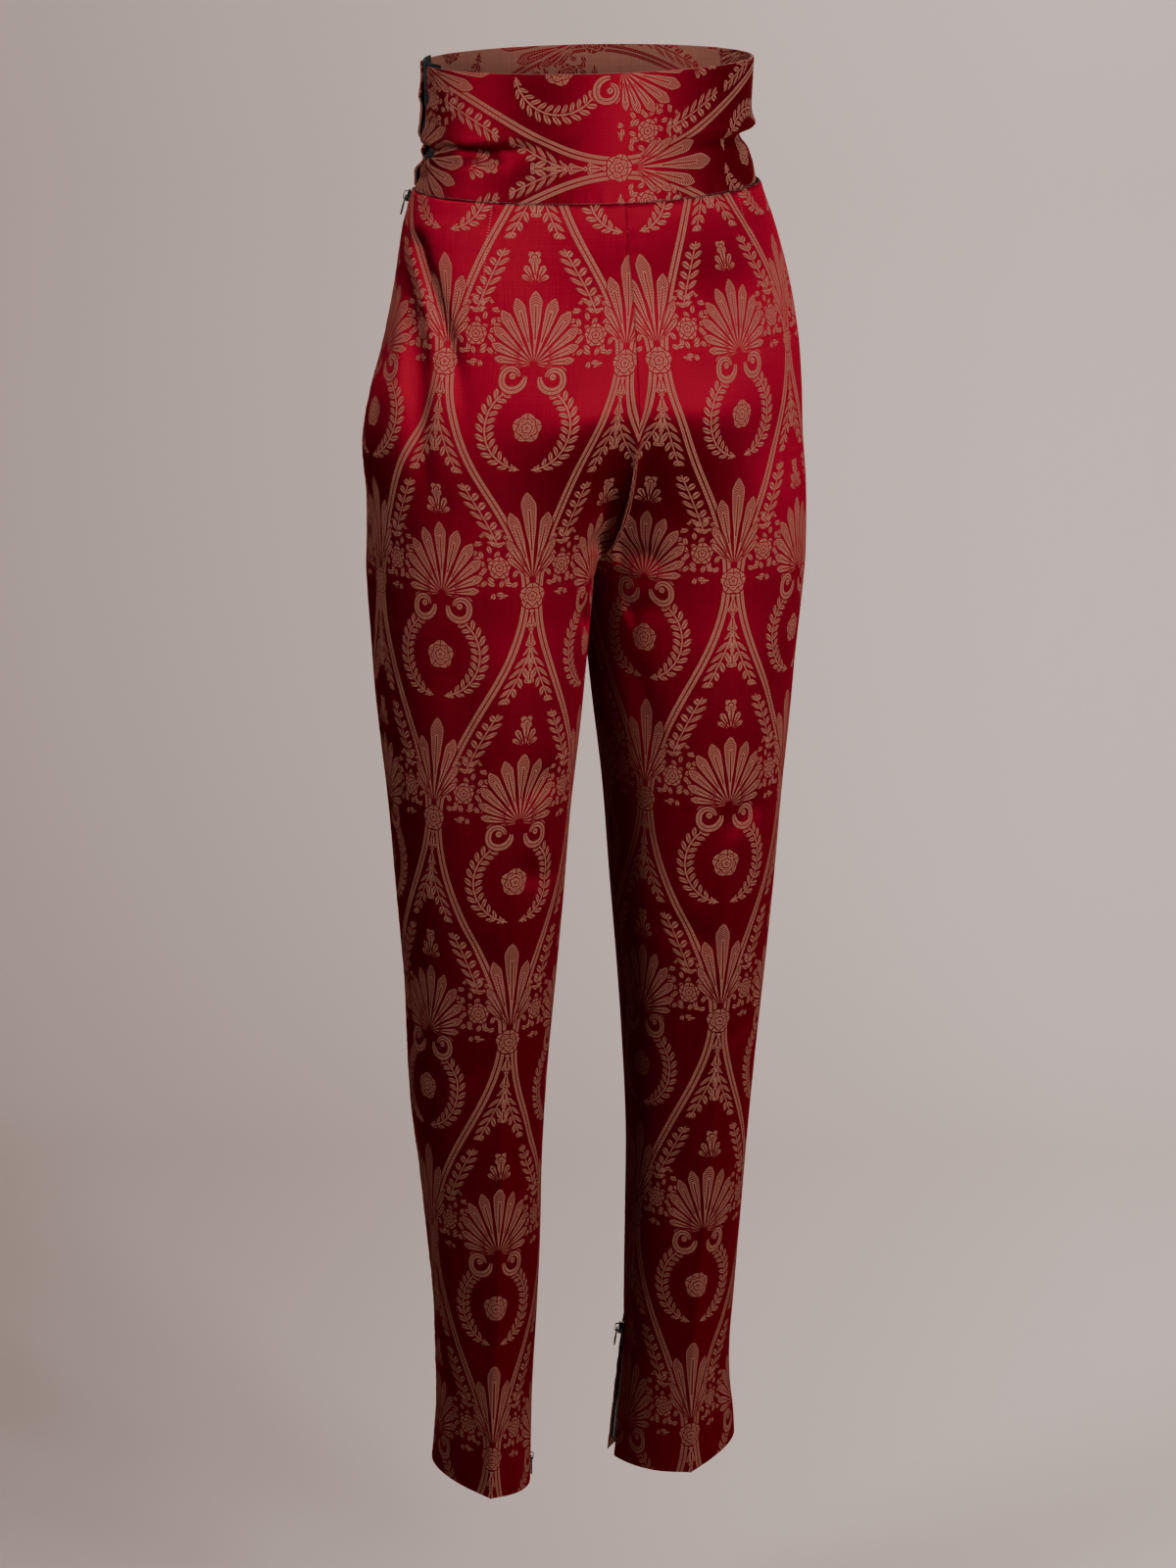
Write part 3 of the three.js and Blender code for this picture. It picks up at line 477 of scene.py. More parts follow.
def wall(outer, thickness):
    """Vertices and quads of a closed wall behind a grid of points."""
    normal = outward(outer)
    nearest = np.min(edge_distance(outer), 0)
    sink = rounding(nearest, thickness)[..., None]
    faces = np.concatenate([outer - normal * sink, outer - normal * (thickness - sink)])
    rows, columns = outer.shape[:2]
    index = np.arange(rows * columns).reshape(rows, columns)
    far = index + rows * columns

    def quads(a, b, c, d):
        return np.stack([a.ravel(), b.ravel(), c.ravel(), d.ravel()], -1)

    def cells(grid):
        return grid[:-1, :-1], grid[:-1, 1:], grid[1:, 1:], grid[1:, :-1]

    a, b, c, d = cells(index)
    e, f, g, h = cells(far)
    parts = [quads(a, d, c, b), quads(e, f, g, h),
             quads(index[0, :-1], index[0, 1:], far[0, 1:], far[0, :-1]),
             quads(index[-1, 1:], index[-1, :-1], far[-1, :-1], far[-1, 1:]),
             quads(index[1:, 0], index[:-1, 0], far[:-1, 0], far[1:, 0]),
             quads(index[:-1, -1], index[1:, -1], far[1:, -1], far[:-1, -1])]
    return faces.reshape(-1, 3), np.concatenate(parts), len(parts[0])


def put_in_scene(name, vertices, faces, smooth_shading=True):
    """A mesh object from vertices in mm and faces of three or four corners."""
    mesh = bpy.data.meshes.new(name)
    faces = np.asarray(faces)
    corners = faces.shape[1]
    mesh.vertices.add(len(vertices))
    mesh.vertices.foreach_set("co", (np.asarray(vertices, np.float32) / 1000).ravel())
    mesh.loops.add(faces.size)
    mesh.loops.foreach_set("vertex_index", faces.astype(np.int32).ravel())
    mesh.polygons.add(len(faces))
    mesh.polygons.foreach_set("loop_start", np.arange(0, faces.size, corners, dtype=np.int32))
    mesh.polygons.foreach_set("use_smooth", np.full(len(faces), smooth_shading))
    mesh.update(calc_edges=True)
    mesh.validate()
    piece = bpy.data.objects.new(name, mesh)
    bpy.context.scene.collection.objects.link(piece)
    return piece


def set_uv(piece, name, values):
    """A UV map from one pair of numbers for each vertex."""
    layer = piece.data.uv_layers.new(name=name)
    corner = np.zeros(len(piece.data.loops), np.int32)
    piece.data.loops.foreach_get("vertex_index", corner)
    layer.data.foreach_set("uv", np.asarray(values, np.float32)[corner].ravel())


# %% The four panels
TOWARDS_SIDE = {"back_left": 1, "back_right": -1, "front_left": -1, "front_right": 1}
PANEL_FOLDS = {"back_left": BACK_LEFT_FOLDS, "back_right": BACK_RIGHT_FOLDS,
               "front_left": FRONT_FOLDS, "front_right": FRONT_FOLDS}


def panel_relief(name, cloth, seed):
    """All that lifts or sinks a panel: folds away from its seams, the pressed crease,
    rolled seams and, on the back, the dart."""
    across = cloth["along"] * TOWARDS_SIDE[name]
    first, last, top, _ = edge_distance(cloth["points"])
    held = smooth(np.minimum(np.minimum(first, last), top) / 9)
    relief = held * folds(PANEL_FOLDS[name], across, cloth["down"])
    relief += pressed(across, level_at(cloth["v"])[0])
    relief += seam_roll(first, cloth["down"], seed) + seam_roll(last, cloth["down"], seed + 2)
    relief += seam_roll(top, cloth["along"], seed + 4)
    if name.startswith("back"):
        relief += held * dart(across, cloth["down"])
    return relief


def sewn(name, cloth, relief, thickness):
    """A closed wall from the cloth's grid, with a UV map of its flat cut in metres."""
    outer = cloth["points"] + outward(cloth["points"]) * relief[..., None]
    vertices, quads, outer_faces = wall(outer, thickness)
    piece = put_in_scene(name, vertices, quads)
    flat = np.stack([cloth["along"], cloth["down"]], -1).reshape(-1, 2) / 1000
    set_uv(piece, "cloth", np.concatenate([flat, flat]))
    behind = (np.arange(len(quads)) >= outer_faces).astype(np.int32)
    piece.data.polygons.foreach_set("material_index", behind)
    cloth["outer"] = outer
    return piece


pieces = {}
for seed, (name, cloth) in enumerate(cut.items()):
    pieces[name] = sewn(name + "_cloth", cloth, panel_relief(name, cloth, 10 * seed + 3), CLOTH)
    print(f"{name}: {len(pieces[name].data.polygons)} faces")


# %% [markdown]
# ## Waistband
#
# The band is doubled cloth, cut with its pattern turned a quarter and sewn on above
# the waist seam. At the bend of the waist it can't lie flat, so it buckles into one
# long fold. Its back end lies behind the wearer's left side, and its front edge stands
# off there in waves between the hooks, with a black strip showing in the gap.

# %% Waistband pieces
WAVES = table("z reach lift", (34, 12, 2.6), (3, 8, 3.0), (-18, 6, 2.2))
WAVE_RUN = 0.09


def front_edge_waves(r, v):
    """How far the front band's edge stands off: a bell for each wave, by height, which
    fades out within WAVE_RUN of the edge."""
    z = level_at(v)[0][..., None]
    lift = np.sum(WAVES["lift"] * np.exp(-((z - WAVES["z"]) / WAVES["reach"]) ** 2), -1)
    return lift * smooth(1 - np.abs(r - side_seam(v)) / WAVE_RUN) ** 2


def band_back_end(v):
    """r of the back band's end. It slants backwards from the waist seam to the top."""
    return mix(0.517, 0.486, v / TOP_V)


def band_grid(start, end, rows, columns):
    """A grid on the waistband between two upright lines of r, with fine edges."""
    fine_start = FINE[:, None] / speed(start, rows, LEFT)
    fine_end = FINE[::-1][:, None] / speed(end, rows, LEFT)
    low, high = start + fine_start, end - fine_end
    share = np.linspace(0, 1, columns + 1)[1:-1, None]
    r = np.concatenate([low, low[-1] + (high[0] - low[-1]) * share, high]).T
    v = np.broadcast_to(rows[:, None], r.shape)
    points = base_surface(r, v, LEFT)
    steps = np.linalg.norm(np.diff(points, axis=1), axis=-1)
    run = np.concatenate([np.zeros((len(rows), 1)), np.cumsum(steps, 1)], 1)
    return {"r": r, "v": v, "points": points, "run": run, "down": v}


band_rows = with_fine_ends(TOP_V, -GAP / 2, 1.9)
right_seam = moved(2 - side_seam(band_rows), -GAP / 2, band_rows, RIGHT)
back = band_grid(moved(-side_seam(band_rows), GAP / 2, band_rows, RIGHT), band_back_end(band_rows),
                 band_rows, 150)
front = band_grid(side_seam(band_rows), right_seam, band_rows, 160)
to_middle = np.array([np.interp(0, r, run) for r, run in zip(back["r"], back["run"])])[:, None]
back["along"] = back["run"] - to_middle
front["along"] = front["run"]
print("waistband back:", np.round(back["along"][40, [0, -1]]), "front:", round(front["along"][40, -1]), "mm")


def band_relief(cloth, lines, seam_edges, seed):
    """The band's folds, and rolled edges along the waist seam and at its side seams."""
    first, last, top, bottom = edge_distance(cloth["points"])
    relief = smooth(bottom / 8) * folds(lines, cloth["along"], cloth["down"])
    relief += seam_roll(bottom, cloth["along"], seed) + 0.5 * seam_roll(top, cloth["along"], seed + 2)
    return relief + seam_roll(last if seam_edges == "last" else first, cloth["down"], seed + 4)


back_band_relief = band_relief(back, BAND_BACK_FOLDS, "first", 51)
front_band_relief = band_relief(front, BAND_FRONT_FOLDS, "last", 61)
front_band_relief += front_edge_waves(front["r"], front["v"])
pieces["waistband_back"] = sewn("waistband_back_cloth", back, back_band_relief, BAND)
pieces["waistband_front"] = sewn("waistband_front_cloth", front, front_band_relief, BAND)


# %% [markdown]
# ## Underlap and zip tapes
#
# A black strip stands behind the waistband's gap, and black tapes are sewn behind the
# edges of the cloth at each zip. A tape follows the cloth that it is sewn to, folds
# and all, so it is made from that panel's own grid, moved behind it.

# %% Strips laid behind the cloth
TAPE, BEHIND = 1.0, 0.55
TAPE_NEAR, TAPE_FAR = 1.1, 11.5            # from the middle of the chain, in mm
UNDERLAP, UNDERLAP_DEPTH, UNDERLAP_RISE = 1.2, 3.1, 2.5
UNDERLAP_START, UNDERLAP_END = 0.452, 0.612     # r of its two upright edges


def beside(cloth, at_last, first_row, last_row, reach, depth):
    """Points reach mm in from a panel's upright edge (or out of it, where reach is
    below 0) and depth mm behind its outer face. Each row is walked by its own lengths."""
    outer = cloth["outer"][first_row:last_row + 1]
    inner = outer - outward(outer) * depth
    if at_last:
        inner = inner[:, ::-1]
    steps = np.linalg.norm(np.diff(inner, axis=1), axis=-1)
    walked = np.concatenate([np.zeros((len(inner), 1)), np.cumsum(steps, 1)], 1)
    reach = np.broadcast_to(reach, (len(inner), np.shape(reach)[-1]))
    cell = np.clip((walked[:, :, None] <= reach[:, None, :]).sum(1) - 1, 0, walked.shape[1] - 2)
    rows = np.arange(len(inner))[:, None]
    share = (reach - walked[rows, cell]) / steps[rows, cell]
    points = mix(inner[rows, cell], inner[rows, cell + 1], share[..., None])
    return points[:, ::-1] if at_last else points


def rows_between(cloth, top, bottom):
    """First and last row of a panel between two drops v."""
    v = cloth["v"][:, 0]
    return int(np.searchsorted(v, top)), int(np.searchsorted(v, bottom)) - 1


def plain_wall(name, outer, thickness):
    """A closed wall with a UV map in metres: across it and down it."""
    left, _, top, _ = edge_distance(outer)
    vertices, quads, _ = wall(outer, thickness)
    piece = put_in_scene(name, vertices, quads)
    flat = np.stack([left, top], -1).reshape(-1, 2) / 1000
    set_uv(piece, "cloth", np.concatenate([flat, flat]))
    return piece


def opening_at(name, v):
    """Half the gap in the cloth at a zip."""
    z = level_at(v)[0]
    return {"side": side_opening, "left_ankle": left_ankle_opening,
            "right_ankle": right_ankle_opening}[name](z) / 2 + GAP / 2


# Each zip, as drops v: where its tapes start and end, and where its slider stands.
ZIPS = {"side": dict(top=0.3, bottom=152.0, slider=8.0),
        "left_ankle": dict(top=v_on_leg(-936), bottom=v_on_leg(-1045), slider=v_on_leg(-1040)),
        "right_ankle": dict(top=v_on_leg(-936), bottom=v_on_leg(-1045), slider=v_on_leg(-951))}
# Each tape: its zip, its panel, and whether it lies at that panel's last edge.
TAPES = {"side_zip_tape_back": ("side", "back_left", True),
         "side_zip_tape_front": ("side", "front_left", False),
         "left_ankle_tape_front": ("left_ankle", "front_left", True),
         "left_ankle_tape_back": ("left_ankle", "back_left", False),
         "right_ankle_tape_back": ("right_ankle", "back_right", True),
         "right_ankle_tape_front": ("right_ankle", "front_right", False)}
TAPE_SHOWS, TAPE_HIDDEN, SET_BACK = 3.2, 9.0, 4.5     # at the open ankle, in mm
for name, (zip_name, panel, at_last) in TAPES.items():
    cloth = cut[panel]
    first_row, last_row = rows_between(cloth, ZIPS[zip_name]["top"], ZIPS[zip_name]["bottom"])
    rows = cloth["v"][first_row:last_row + 1, 0]
    half_gap = opening_at(zip_name, rows)[:, None]
    near, far = TAPE_NEAR - half_gap, TAPE_FAR - half_gap
    if zip_name == "right_ankle":
        near = -np.minimum(TAPE_SHOWS, half_gap - GAP / 2) if at_last else SET_BACK + half_gap * 0
        far = near + TAPE_SHOWS + TAPE_HIDDEN
    reach = near + (far - near) * np.linspace(0, 1, 12)
    points = beside(cloth, at_last, first_row, last_row, reach, CLOTH + BEHIND)
    pieces[name] = plain_wall(name + "_cloth", points, TAPE)

under_rows = with_fine_ends(TOP_V - UNDERLAP_RISE, -GAP / 2, 2.4)
under = band_grid(np.full(under_rows.shape, UNDERLAP_START), np.full(under_rows.shape, UNDERLAP_END),
                  under_rows, 28)
from_back = under["run"] + np.interp(UNDERLAP_START, back["r"][40], back["along"][40])
on_front = smooth((under["r"] - 0.495) / 0.03)
lift = mix(folds(BAND_BACK_FOLDS, from_back, under["down"]),
           folds(BAND_FRONT_FOLDS, from_back - from_back[:, :1] - 21, under["down"]), on_front)
lift = np.minimum(lift * smooth(-under["down"] / 8), 0)
points = under["points"] + outward(under["points"]) * (lift - UNDERLAP_DEPTH)[..., None]
pieces["closure_underlap"] = plain_wall("closure_underlap_cloth", points, UNDERLAP)
print("tapes and underlap:", [name for name in pieces if "tape" in name or "underlap" in name])


# %% [markdown]
# ## Zip teeth, sliders and pulls
#
# A zip's teeth are one small shape repeated a few hundred times, so each has only a
# few faces and all of a zip's teeth are one mesh. A slider is two rounded plates with
# a post between them and a bail on top, and the pull hangs from the bail by its eye.

# %% Small shapes repeated along a path
def frame_on(r, v, half):
    """Point, outward normal, up along the cloth, and across, at one place or many."""
    step_r, step_v = 0.002, 1.0
    across = base_surface(r + step_r, v, half) - base_surface(r - step_r, v, half)
    down = base_surface(r, v + step_v, half) - base_surface(r, v - step_v, half)
    normal = np.cross(across, down)
    normal /= np.linalg.norm(normal, axis=-1, keepdims=True)
    up = -down / np.linalg.norm(down, axis=-1, keepdims=True)
    return base_surface(r, v, half), normal, up, np.cross(normal, up)


def repeated(shape, faces, places, axes):
    """One shape set down at many places. axes are the three directions, at each place,
    of the shape's own x, y and z."""
    moved_points = places[:, None] + sum(shape[None, :, k, None] * axes[k][:, None] for k in range(3))
    shift = (np.arange(len(places)) * len(shape))[:, None, None]
    return moved_points.reshape(-1, 3), (np.asarray(faces)[None] + shift).reshape(-1, len(faces[0]))


def along_path(path, values, spacing, start=0.5):
    """Values at even distances along a path of points."""
    walked = np.concatenate([[0], np.cumsum(np.linalg.norm(np.diff(path, axis=0), axis=-1))])
    at = np.arange(start * spacing, walked[-1], spacing)
    return [np.stack([np.interp(at, walked, v[:, k]) for k in range(3)], -1) for v in (path, *values)]


def bevelled_block(width, height, depth, cut_off):
    """A block whose upright edges are cut off: an eight-sided prism, as quads."""
    w, h, d, c = width / 2, height / 2, depth / 2, cut_off
    ring = np.array([(w - c, -h), (w, c - h), (w, h - c), (w - c, h),
                     (c - w, h), (-w, h - c), (-w, c - h), (c - w, -h)])
    levels = ((ring * 0.86, d), (ring, d * 0.6), (ring, -d))
    points = np.concatenate([np.column_stack([flat, np.full(8, y)]) for flat, y in levels])
    following = (*range(1, 8), 0)
    quads = [(a + k, b + k, b + n, a + n) for a, b in ((0, 8), (8, 16)) for k, n in enumerate(following)]
    caps = [(0, 1, 2, 3), (0, 3, 4, 7), (4, 5, 6, 7), (19, 18, 17, 16), (23, 20, 19, 16), (23, 22, 21, 20)]
    return points, np.array(quads + caps)


TOOTH_PITCH = 1.5
tooth, tooth_faces = bevelled_block(2.9, 0.95, 1.7, 0.3)


def zip_teeth(name, path, across, normal, sides):
    """Teeth along a path. On a closed zip they come from both sides by turns."""
    tangent = np.gradient(path, axis=0)
    spacing = TOOTH_PITCH / sides
    places, across, normal, up = along_path(path, (across, normal, -tangent), spacing)
    across, normal, up = (v / np.linalg.norm(v, axis=-1, keepdims=True) for v in (across, normal, up))
    by_turns = np.where(np.arange(len(places)) % 2 == 0, 0.8, -0.8)[:, None] * (sides == 2)
    vertices, faces = repeated(tooth, tooth_faces, places + across * by_turns, (across, up, normal))
    return put_in_scene(name, vertices, faces, smooth_shading=False)


for name, before, after in (("side", "back_left", "front_left"), ("left_ankle", "front_left", "back_left")):
    a, b = cut[before], cut[after]
    first_row, last_row = rows_between(a, ZIPS[name]["top"], ZIPS[name]["bottom"])
    v = a["v"][first_row:last_row + 1, 0]
    keep = v > ZIPS[name]["slider"] + 5 if name == "side" else v < ZIPS[name]["slider"] - 5
    rows = slice(first_row, last_row + 1)
    edge_a, edge_b = a["outer"][rows, -1][keep], b["outer"][rows, 0][keep]
    normal = (outward(a["outer"])[rows, -1] + outward(b["outer"])[rows, 0])[keep]
    normal /= np.linalg.norm(normal, axis=-1, keepdims=True)
    rise = smooth(opening_at(name, v[keep]) - 2.6)[:, None]
    path = (edge_a + edge_b) / 2 + normal * (2.75 * rise - 2.9)
    across = edge_b - edge_a
    node = "side_zip_chain" if name == "side" else name + "_chain"
    pieces[node] = zip_teeth(name + "_zip_teeth", path, across, normal, 2)

for name, panel, at_last in (("right_ankle_teeth_back", "back_right", True),
                             ("right_ankle_teeth_front", "front_right", False)):
    cloth = cut[panel]
    first_row, last_row = rows_between(cloth, ZIPS["right_ankle"]["slider"] + 7,
                                       ZIPS["right_ankle"]["bottom"] - 2)
    v = cloth["v"][first_row:last_row + 1, 0]
    edge = opening_at("right_ankle", v)[:, None] - GAP / 2
    out = np.minimum(edge, TAPE_SHOWS) if at_last else -SET_BACK + edge * 0
    reach = np.concatenate([-out - 0.9, -out + 1], 1)
    points = beside(cloth, at_last, first_row, last_row, reach, CLOTH + BEHIND + 0.2)
    inner, outer = (points[:, 0], points[:, 1]) if not at_last else (points[:, 1], points[:, 0])
    normal = outward(cloth["outer"])[first_row:last_row + 1, -1 if at_last else 0]
    pieces[name] = zip_teeth(name, inner, outer - inner, normal, 1)


# %% Sliders and pulls
SLIDER_WIDE, SLIDER_TALL, SLIDER_THICK, SLIDER_LIFT = 7.6, 10.0, 4.0, 2.6
PULL_WIDE, PULL_LONG, PULL_THICK = 5.6, 16.0, 1.0
EYE_WIDE, EYE_END = 3.0, 4.8
PIVOT = 1.1                                 # the pull's crossbar over the slider


def loop(width, length, middle, corner, points=32):
    """A rounded rectangle as a ring of points (x, z): a superellipse whose power sets
    how square its corners are."""
    angle = np.arange(points) * 2 * np.pi / points
    c, s = np.cos(angle), np.sin(angle)
    power = 2 / corner
    return np.stack([width / 2 * np.sign(c) * np.abs(c) ** power,
                     middle + length / 2 * np.sign(s) * np.abs(s) ** power], -1)


def plate(outline, hole, back, front, edge=0.22):
    """A plate between two depths y, with rounded rims: rings of points that run up the
    outside, over the front, down the hole and back behind."""
    centre = hole.mean(0)
    def ring(line, y, inset):
        towards = centre - line
        towards /= np.linalg.norm(towards, axis=-1, keepdims=True)
        flat = line + towards * inset
        return np.column_stack([flat[:, 0], np.full(len(flat), y), flat[:, 1]])
    rings = [ring(outline, back, edge), ring(outline, back + edge, 0), ring(outline, front - edge, 0),
             ring(outline, front, edge), ring(hole, front, -edge), ring(hole, front - edge, 0),
             ring(hole, back + edge, 0), ring(hole, back, -edge)]
    grid = np.arange(len(rings) * len(outline)).reshape(len(rings), -1)
    below, right = np.roll(grid, -1, 0), np.roll(grid, -1, 1)
    corner = np.roll(below, -1, 1)
    faces = np.stack([grid.ravel(), below.ravel(), corner.ravel(), right.ravel()], -1)
    return np.concatenate(rings), faces


def joined(parts):
    """Several meshes as one: faces are counted on from the vertices before them."""
    shifts = np.cumsum([0] + [len(vertices) for vertices, _ in parts[:-1]])
    return (np.concatenate([vertices for vertices, _ in parts]),
            np.concatenate([faces + shift for (_, faces), shift in zip(parts, shifts)]))


def pinched(points, top, bottom):
    """Narrows a shape in x from its top to its bottom, as a slider's wings do."""
    share = (points[:, 2] - points[:, 2].min()) / np.ptp(points[:, 2])
    return np.column_stack([points[:, 0] * mix(bottom, top, smooth(share)), points[:, 1:]])


def slider_shape():
    """Two plates, each closed but for a pin-hole, a post between them, two side rails
    and the bail, in the slider's own frame: x across, y outwards, z up."""
    outline, pin = loop(SLIDER_WIDE, SLIDER_TALL, 0, 3.2), loop(0.3, 0.3, 1.6, 2)
    front = plate(outline, pin, -1.15, 0.0, 0.35)
    back = plate(outline, pin, -SLIDER_THICK, -SLIDER_THICK + 1.15, 0.35)
    front, back = ((pinched(points, 1.0, 0.72), faces) for points, faces in (front, back))
    post = plate(loop(2.4, 3.0, 2.8, 2.2), loop(0.2, 0.2, 2.8, 2), -3.2, -0.8, 0.1)
    rails = [plate(loop(0.9, 5.6, -1.6, 3), loop(0.1, 0.1, -1.6, 2), -2.9, -1.0, 0.1) for _ in range(2)]
    rails = [(points + (x, 0, 0), faces) for (points, faces), x in zip(rails, (-2.6, 2.6))]
    arch, space = loop(7.0, 4.8, 0.2, 3.4), loop(5.2, 3.2, 0.4, 3.2)
    bail = plate(arch, space, -0.8, 0.8, 0.25)
    bail = (np.column_stack([bail[0][:, 1], bail[0][:, 2] + 0.55, bail[0][:, 0]]), bail[1])
    return joined([front, back, post, *rails, bail])


def pull_shape():
    """A tab that hangs from its crossbar: a plate with an eye and, lower down, a round
    hole. Its axis is the middle of the crossbar at the top of the eye."""
    half = PULL_LONG / 2
    outline = loop(PULL_WIDE, PULL_LONG, 0.5 - half, 4.2)
    eye = loop(EYE_WIDE, EYE_END - 0.5, -0.5 - (EYE_END - 0.5) / 2, 4)
    upper = plate(outline, eye, -PULL_THICK / 2, PULL_THICK / 2)
    rib = plate(loop(2.6, 6.4, -10.6, 3.4), loop(1.7, 5.5, -10.6, 3.4), 0.38, 0.72, 0.12)
    return joined([(pinched(upper[0], 0.8, 1.0), upper[1]), rib])


SLIDER_PLACES = {"side_zip": ("side", side_seam, LEFT),
                 "left_ankle": ("left_ankle", lambda v: inseam(v, LEFT), LEFT),
                 "right_ankle": ("right_ankle", lambda v: inseam(v, RIGHT), RIGHT)}
for name, (zip_name, line, half) in SLIDER_PLACES.items():
    v = np.array([ZIPS[zip_name]["slider"]])
    place, normal, up, across = frame_on(line(v), v, half)
    for part, shape, lift in (("slider", slider_shape(), SLIDER_LIFT),
                              ("pull", pull_shape(), SLIDER_LIFT + PIVOT)):
        vertices, faces = repeated(*shape, place + normal * lift, (across, normal, up))
        piece = put_in_scene(f"{name}_{part}_metal", vertices, faces[:, ::-1])
        pieces[f"{name}_{part}"] = piece
        print(piece.name, len(faces), "faces")


# %% [markdown]
# ## Stitches
#
# The waist seam shows a fine dark thread, and the darts show theirs as a short ladder.
# Each stitch is a grain-shaped bead laid across or along the seam, half sunk in the
# cloth.

# %% Stitches
def stitches(name, path, normal, spacing, length, thick, slant=0.0):
    """Beads along a path; slant turns each one from the path's direction, in radians."""
    places, up, tangent = along_path(path, (normal, np.gradient(path, axis=0)), spacing)
    up, tangent = (v / np.linalg.norm(v, axis=-1, keepdims=True) for v in (up, tangent))
    side = np.cross(up, tangent)
    turned = tangent * np.cos(slant) + side * np.sin(slant)
    bead, bead_faces = bevelled_block(length, thick, thick, thick * 0.3)
    vertices, faces = repeated(bead, bead_faces, places, (turned, np.cross(up, turned), up))
    return put_in_scene(name, vertices, faces)


for name, cloth in (("waist_stitches_back", back), ("waist_stitches_front", front)):
    line = cloth["outer"][-4, 2:-2]
    pieces[name] = stitches(name, line, outward(cloth["outer"])[-4, 2:-2], 2.6, 1.7, 0.42)
for name, panel, sign in (("dart_stitches_left", "back_left", 1), ("dart_stitches_right", "back_right", -1)):
    cloth = cut[panel]
    rows = slice(3, 30 if sign == 1 else 18)
    wanted = sign * DART_ACROSS
    column = np.argmin(np.abs(cloth["along"][10] - wanted))
    line, normal = cloth["outer"][rows, column], outward(cloth["outer"])[rows, column]
    pieces[name] = stitches(name, line, normal, 2.2, 1.5, 0.34, 1.25)
print("stitch faces:", sum(len(p.data.polygons) for n, p in pieces.items() if "stitch" in n))


# %% [markdown]
# ## Damask
#
# The cloth is a damask: matt tan figures on a red satin ground. Its design is drawn
# with arithmetic. Every motif is a number of millimetres at each point of the cloth,
# above 0 inside the figure and below 0 outside. Taking the higher of two motifs joins
# them, and taking the lower cuts one by the other. Small helpers turn Python sums into
# Math nodes, and each motif has a node group of its own.

# %% Sums as shader nodes
class Field:
    """A number that varies over the cloth: the output of a node in a tree."""

    def __init__(self, tree, socket):
        self.tree, self.socket = tree, socket

    def __add__(self, other):
        return sum_node("ADD", self, other)

    def __sub__(self, other):
        return sum_node("SUBTRACT", self, other)

    def __rsub__(self, other):
        return sum_node("SUBTRACT", other, self)

    def __mul__(self, other):
        return sum_node("MULTIPLY", self, other)

    def __truediv__(self, other):
        return sum_node("DIVIDE", self, other)


def add_node(tree, kind, *values):
    """A node whose inputs are set to numbers or joined to fields. It stands to the right
    of the nodes it reads, so that the tree can be followed in the editor."""
    node = tree.nodes.new(kind)
    before = 0
    for socket, value in zip(node.inputs, values):
        if isinstance(value, Field):
            tree.links.new(value.socket, socket)
            before = max(before, value.socket.node.location.x)
        elif value is not None:
            socket.default_value = value
    level = sum(other.location.x == before + 190 for other in tree.nodes)
    node.location = before + 190, -150 * level
    return node


def sum_node(operation, *values):
    """One Math node, as a field."""
    tree = next(value.tree for value in values if isinstance(value, Field))
    node = add_node(tree, "ShaderNodeMath", *values)
    node.operation = operation
    return Field(tree, node.outputs[0])


def low(a, b): return sum_node("MINIMUM", a, b)
def high(a, b): return sum_node("MAXIMUM", a, b)
def size(a): return sum_node("ABSOLUTE", a)
def root(a): return sum_node("SQRT", a)
def sine(a): return sum_node("SINE", a)
def cosine(a): return sum_node("COSINE", a)
def whole(a): return sum_node("FLOOR", a)
def angle_of(y, x): return sum_node("ARCTAN2", y, x)
def wrap(a, start, end): return sum_node("WRAP", a, end, start)
def beyond(a, limit): return sum_node("GREATER_THAN", a, limit)


def by_curve(a, start, end, points):
    """A curve of a, given by its points: (share of the way from start to end, value)."""
    share = add_node(a.tree, "ShaderNodeMapRange", a, start, end, 0, 1)
    node = add_node(a.tree, "ShaderNodeFloatCurve", 1, Field(a.tree, share.outputs[0]))
    most = max(value for _, value in points)
    line = node.mapping.curves[0]
    while len(line.points) < len(points):
        line.points.new(0.5, 0.5)
    for handle, (at, value) in zip(line.points, points):
        handle.location = at, value / most
        handle.handle_type = "AUTO_CLAMPED"
    node.mapping.update()
    return Field(a.tree, node.outputs[0]) * most


def cells(x, y, apart, loose):
    """Scattered points about this far apart. Gives the place measured from the nearest
    one, and an angle that belongs to that one alone."""
    place = add_node(x.tree, "ShaderNodeCombineXYZ", x, y)
    voronoi = add_node(x.tree, "ShaderNodeTexVoronoi")
    voronoi.voronoi_dimensions = "2D"
    x.tree.links.new(place.outputs[0], voronoi.inputs["Vector"])
    voronoi.inputs["Scale"].default_value = 1 / apart
    voronoi.inputs["Randomness"].default_value = loose
    away = x.tree.nodes.new("ShaderNodeVectorMath")
    away.operation = "SUBTRACT"
    x.tree.links.new(place.outputs[0], away.inputs[0])
    x.tree.links.new(voronoi.outputs["Position"], away.inputs[1])
    local = add_node(x.tree, "ShaderNodeSeparateXYZ", Field(x.tree, away.outputs[0]))
    chance = add_node(x.tree, "ShaderNodeSeparateColor", Field(x.tree, voronoi.outputs["Color"]))
    return (Field(x.tree, local.outputs[0]), Field(x.tree, local.outputs[1]),
            Field(x.tree, chance.outputs[0]) * 6.2832)


